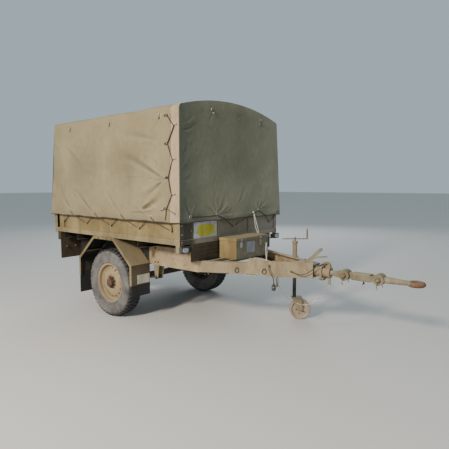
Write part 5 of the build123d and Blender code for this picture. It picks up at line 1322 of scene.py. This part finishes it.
# White cords: from the front curtain past the box's far end, and from the box down to the beam
far_top, far_foot = on_front(0.306, 1.165, 0.004), at(0.100, 0.3005, 0.888)
for shift in (-0.008, 0.010):
    rope(cordage, [
        far_top + Vector((0, shift * 0.4, 0)), at(0.075 + shift * 1.6, 0.3075, 1.0),
        at(0.098 + shift, 0.306, 0.94), far_foot,
    ], 0.0068)
low_start, low_end = at(0.256, 0.238, 0.832), at(0.604, -0.2705, 0.757)
for shift in (-0.006, 0.006):
    rope(cordage, [
        low_start + Vector((0, shift, shift)),
        low_start.lerp(low_end, 0.5) + Vector((0, shift * 2.2, 0.004)), low_end,
    ], 0.0075)
for place in (far_foot, low_start, low_end, far_top):
    ring(cordage, place, (1, 0.3, 0.2), 0.008, 0.0052, 14)
for wire, staple in (
    (0.003, ((0.085, 0.287, 0.880), (0.086, 0.305, 0.884), (0.100, 0.311, 0.889),
             (0.114, 0.305, 0.884), (0.115, 0.287, 0.880))),
    (0.003, ((0.248, 0.224, 0.832), (0.262, 0.226, 0.834), (0.265, 0.238, 0.836),
             (0.262, 0.250, 0.834), (0.248, 0.252, 0.832))),
    (0.0032, ((0.590, -0.2765, 0.742), (0.592, -0.2755, 0.756), (0.604, -0.2695, 0.762),
              (0.616, -0.2635, 0.756), (0.617, -0.2625, 0.742))),
):
    tube(bolts, route([at(*place) for place in staple], 6), wire, 7)
eyelet(on_front, 0.306, 1.165)

# ---------------------------------------------------------------- drawbar and beams
BEAM_X, BEAM_Y, BEAM_SLOPE, TUBE_Z = 0.8926, 0.4509, 0.5051, 0.660
KNUCKLES, ARM_PIN = (1.285, 1.597), 1.455
for side in (-1, 1):
    along, out = Vector((BEAM_X, -side * BEAM_Y, 0)), Vector((BEAM_Y, side * BEAM_X, 0))
    for x, z in ((0.346, 0.643), (0.585, 0.642)):
        spot = at(x, side * (0.577 - BEAM_SLOPE * x), z)
        ring(dark_bits, spot + out * 0.0045, out, 0.019, 0.0044, 24, 7, 1.15)
        box(dark_bits, spot + out * 0.003 + Vector((0, 0, 0.022)), (0.026, 0.010, 0.014), along)
    for x in (0.80, 0.87, 0.94):
        for z, up in ((0.7272, 1), (0.6008, -1)):
            bolt(bolts, at(x, side * (0.530 - BEAM_SLOPE * x), z), (0, 0, up), 0.014)
along = Vector((BEAM_X, BEAM_Y, 0))
box(pale_bits, at(0.469, -0.342, 0.5985), (0.104, 0.030, 0.012), along)
for a in (0.028, -0.028):
    bolt(bolts, at(0.469, -0.342, 0.5925) + along * a, (0, 0, -1), 0.010, 0.005)
for y in (-0.042, 0.042):
    for z in (0.600, 0.720):
        bolt(bolts, at(1.0762, y, z), AHEAD, 0.019)
        bolt(bolts, at(1.0558, y, z), BEHIND, 0.019)
for x, angle, radius in ((1.110, 50, 0.047), (0.70, 90, 0.049), (0.98, 128, 0.049)):
    out = Vector((0, -cos(radians(angle)), sin(radians(angle))))
    lathe(bolts, NIPPLE, at(x, 0, TUBE_Z) + out * radius, out, 12)
for x, r in ((0.655, 0.052), (1.1415, 0.0503)):
    collar = [(0.0475, -0.003), (r, -0.002), (r, 0.002), (0.0475, 0.003)]
    lathe(plain, collar, at(x, 0, TUBE_Z), AHEAD, 40)

arm_bits, arm_rust, gate, hub_bits = (Shape() for _ in range(4))
tube(arm_rust, [at(ARM_PIN, 0, 0.630), at(ARM_PIN, 0, 0.600)], 0.006, 10)
tube(arm_rust, [at(ARM_PIN, -0.026, 0.599), at(ARM_PIN, 0.026, 0.599)], 0.0052, 10)
lathe(arm_bits, ARM_CAP, at(ARM_PIN, 0, 0.6275), (0, 0, -1), 16)
for x in KNUCKLES:
    for side in (-1, 1):
        ring(arm_rust, at(x, side * 0.0655, TUBE_Z), (0, 1, 0), 0.0165, 0.0019)
        for index in range(5):
            y = side * (0.0665 + 0.0005 * index)
            middle = at(x + 0.004 * sin(index * 2.0), y, 0.632 - 0.0125 * index)
            turned = (0.3, 1, 0) if index % 2 else (1, 0.25, 0)
            ring(arm_rust, middle, turned, 0.0052, 0.0016, 10, 5, 1.5)
for x, side in ((1.40, -1), (1.50, 1)):
    bolt(arm_bits, at(x, side * 0.0443, TUBE_Z), (0, side, 0), 0.014)
arm_bits.piece("drawbar_arm_fittings", "worn_steel", "drawbar_arm", "steel")
arm_rust.piece("drawbar_arm_pins", "rusty_steel", "drawbar_arm", "steel")

# ---------------------------------------------------------------- tailgate latches, jockey wheel
LATCH_Y, LATCH_Z = 0.745, 1.215
for side in (-1, 1):
    y = side * LATCH_Y
    box(gate, at(-2.2562, y, LATCH_Z), (0.0026, 0.060, 0.060))
    lathe(gate, LATCH_KNOB, at(-2.2572, y, LATCH_Z), BEHIND, 20)
    prism(gate, rounded(0.048, 0.0085, 3, 24), at(-2.2632, y, LATCH_Z), -0.0045, True)
    for dy in (-0.022, 0.022):
        for dz in (-0.022, 0.022):
            lathe(gate, LATCH_RIVET, at(-2.2573, y + dy, LATCH_Z + dz), BEHIND, 10)
gate.piece("tailgate_latches", "worn_steel", "tailgate", "steel", 0.0006)

wheel_low, wheel_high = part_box("jockey_wheel")
middle = (Vector(wheel_low) + Vector(wheel_high)) / 2
spin = Vector((-0.642788, 0.766044, 0))
first, second = square_to(spin)
for way in (-1, 1):
    for index in range(5):
        a = 2 * pi * index / 5
        spot = middle + spin * (way * 0.0262) + (first * cos(a) + second * sin(a)) * 0.046
        lathe(hub_bits, WHEEL_RIVET, spot, spin * way, 12)
hub_bits.piece("jockey_wheel_rivets", "rusty_steel", "jockey_wheel", "steel")
STEM_BAND = [(0.0242, -0.009), (0.0284, -0.008), (0.0284, 0.008), (0.0242, 0.009)]
stem = at(0.525, 0.3998, 0)
for z in (0.500, 0.700, 0.845):
    lathe(plain, STEM_BAND, stem + Vector((0, 0, z)), (0, 0, 1), 32)
bolt(bolts, stem + Vector((0, 0, 0.8981)), (0, 0, 1), 0.016)

for shape, name, look, slot, bevel in (
    (front_lenses, "front_lamp_lenses", "white_lens", "lamp_white", 0.0012),
    (brackets, "front_lamp_brackets", "black_and_painted_shade", "black_metal", 0.001),
    (reds, "red_lenses", "red_lens", "lamp", 0),
    (ambers, "amber_lenses", "amber_lens", "lamp", 0),
    (dark_bits, "lamp_rims", "black_plastic", "black_plastic", 0),
    (bolts, "zinc_bolts", "worn_steel", "steel", 0.0004),
    (rust_bolts, "rusty_bolts", "rusty_steel", "steel", 0.0004),
    (plain, "rivets_and_bands", "beam_paint", "green_paint", 0),
    (pale_bits, "pale_fittings", "bright_steel", "steel", 0.0006),
    (border, "plate_border", "plate_lilac", "plate_paint", 0),
    (field, "plate_field", "plate_yellow", "plate_paint", 0),
    (label, "toolbox_label", "label_grey", "plate_paint", 0),
    (latch, "toolbox_latches", "bright_steel", "steel", 0.0005),
    (cordage, "white_cords", "white_rope", "canvas", 0),
    (rims, "tilt_eyelets", "bright_steel", "cable_steel", 0),
    # The eyelets' holes closed by near black discs as painted shade.
    (holes, "tilt_eyelet_holes", "painted_hole_shade", "rubber", 0),
):
    shape.piece(name, look, "trailer", slot, bevel)
keeper.piece("toolbox_keepers", "bright_steel", "toolbox_lid", "steel", 0.0005)


# ---------------------------------------------------------------- stage and light
floor_mesh = bpy.data.meshes.new("floor")
FLOOR = 90
corners = [(-FLOOR, -FLOOR, 0), (FLOOR, -FLOOR, 0), (FLOOR, FLOOR, 0), (-FLOOR, FLOOR, 0)]
floor_mesh.from_pydata(corners, [], [(0, 1, 2, 3)])
floor_look = bpy.data.materials.new("studio_floor")
floor_look.use_nodes = True
floor_shader = floor_look.node_tree.nodes["Principled BSDF"]
floor_shader.inputs["Base Color"].default_value = (0.60, 0.575, 0.55, 1)
floor_shader.inputs["Roughness"].default_value = 0.9
floor_mesh.materials.append(floor_look)
floor = bpy.data.objects.new("studio_floor", floor_mesh)
link(floor)

world = bpy.data.worlds.new("studio")
bpy.context.scene.world = world
world.use_nodes = True
sky = world.node_tree.nodes["Background"]
sky.inputs[0].default_value = (0.70, 0.875, 0.97, 1)
sky.inputs[1].default_value = 0.56

# Lights: place, the point they face, size, power and colour.
LIGHTS = (
    ("key", (0.80, -8.0, 4.8), (0.0, 0.0, 0.8), 1.0, 960, (1.0, 0.91, 0.78)),
    ("fill", (6.5, -3.5, 4.4), (0.2, 0, 0.9), 5.0, 14, (0.85, 0.95, 1.0)),
    ("back", (-5.5, 7.5, 5.5), (-0.4, 0, 0.9), 6.0, 330, (0.95, 0.97, 1.0)),
)
for name, place, aim, size, power, colour in LIGHTS:
    lamp = bpy.data.lights.new(name, "AREA")
    lamp.size, lamp.energy, lamp.color = size, power, colour
    obj = bpy.data.objects.new(name, lamp)
    obj.location = place
    obj.rotation_euler = (Vector(aim) - Vector(place)).to_track_quat("-Z", "Y").to_euler()
    link(obj)
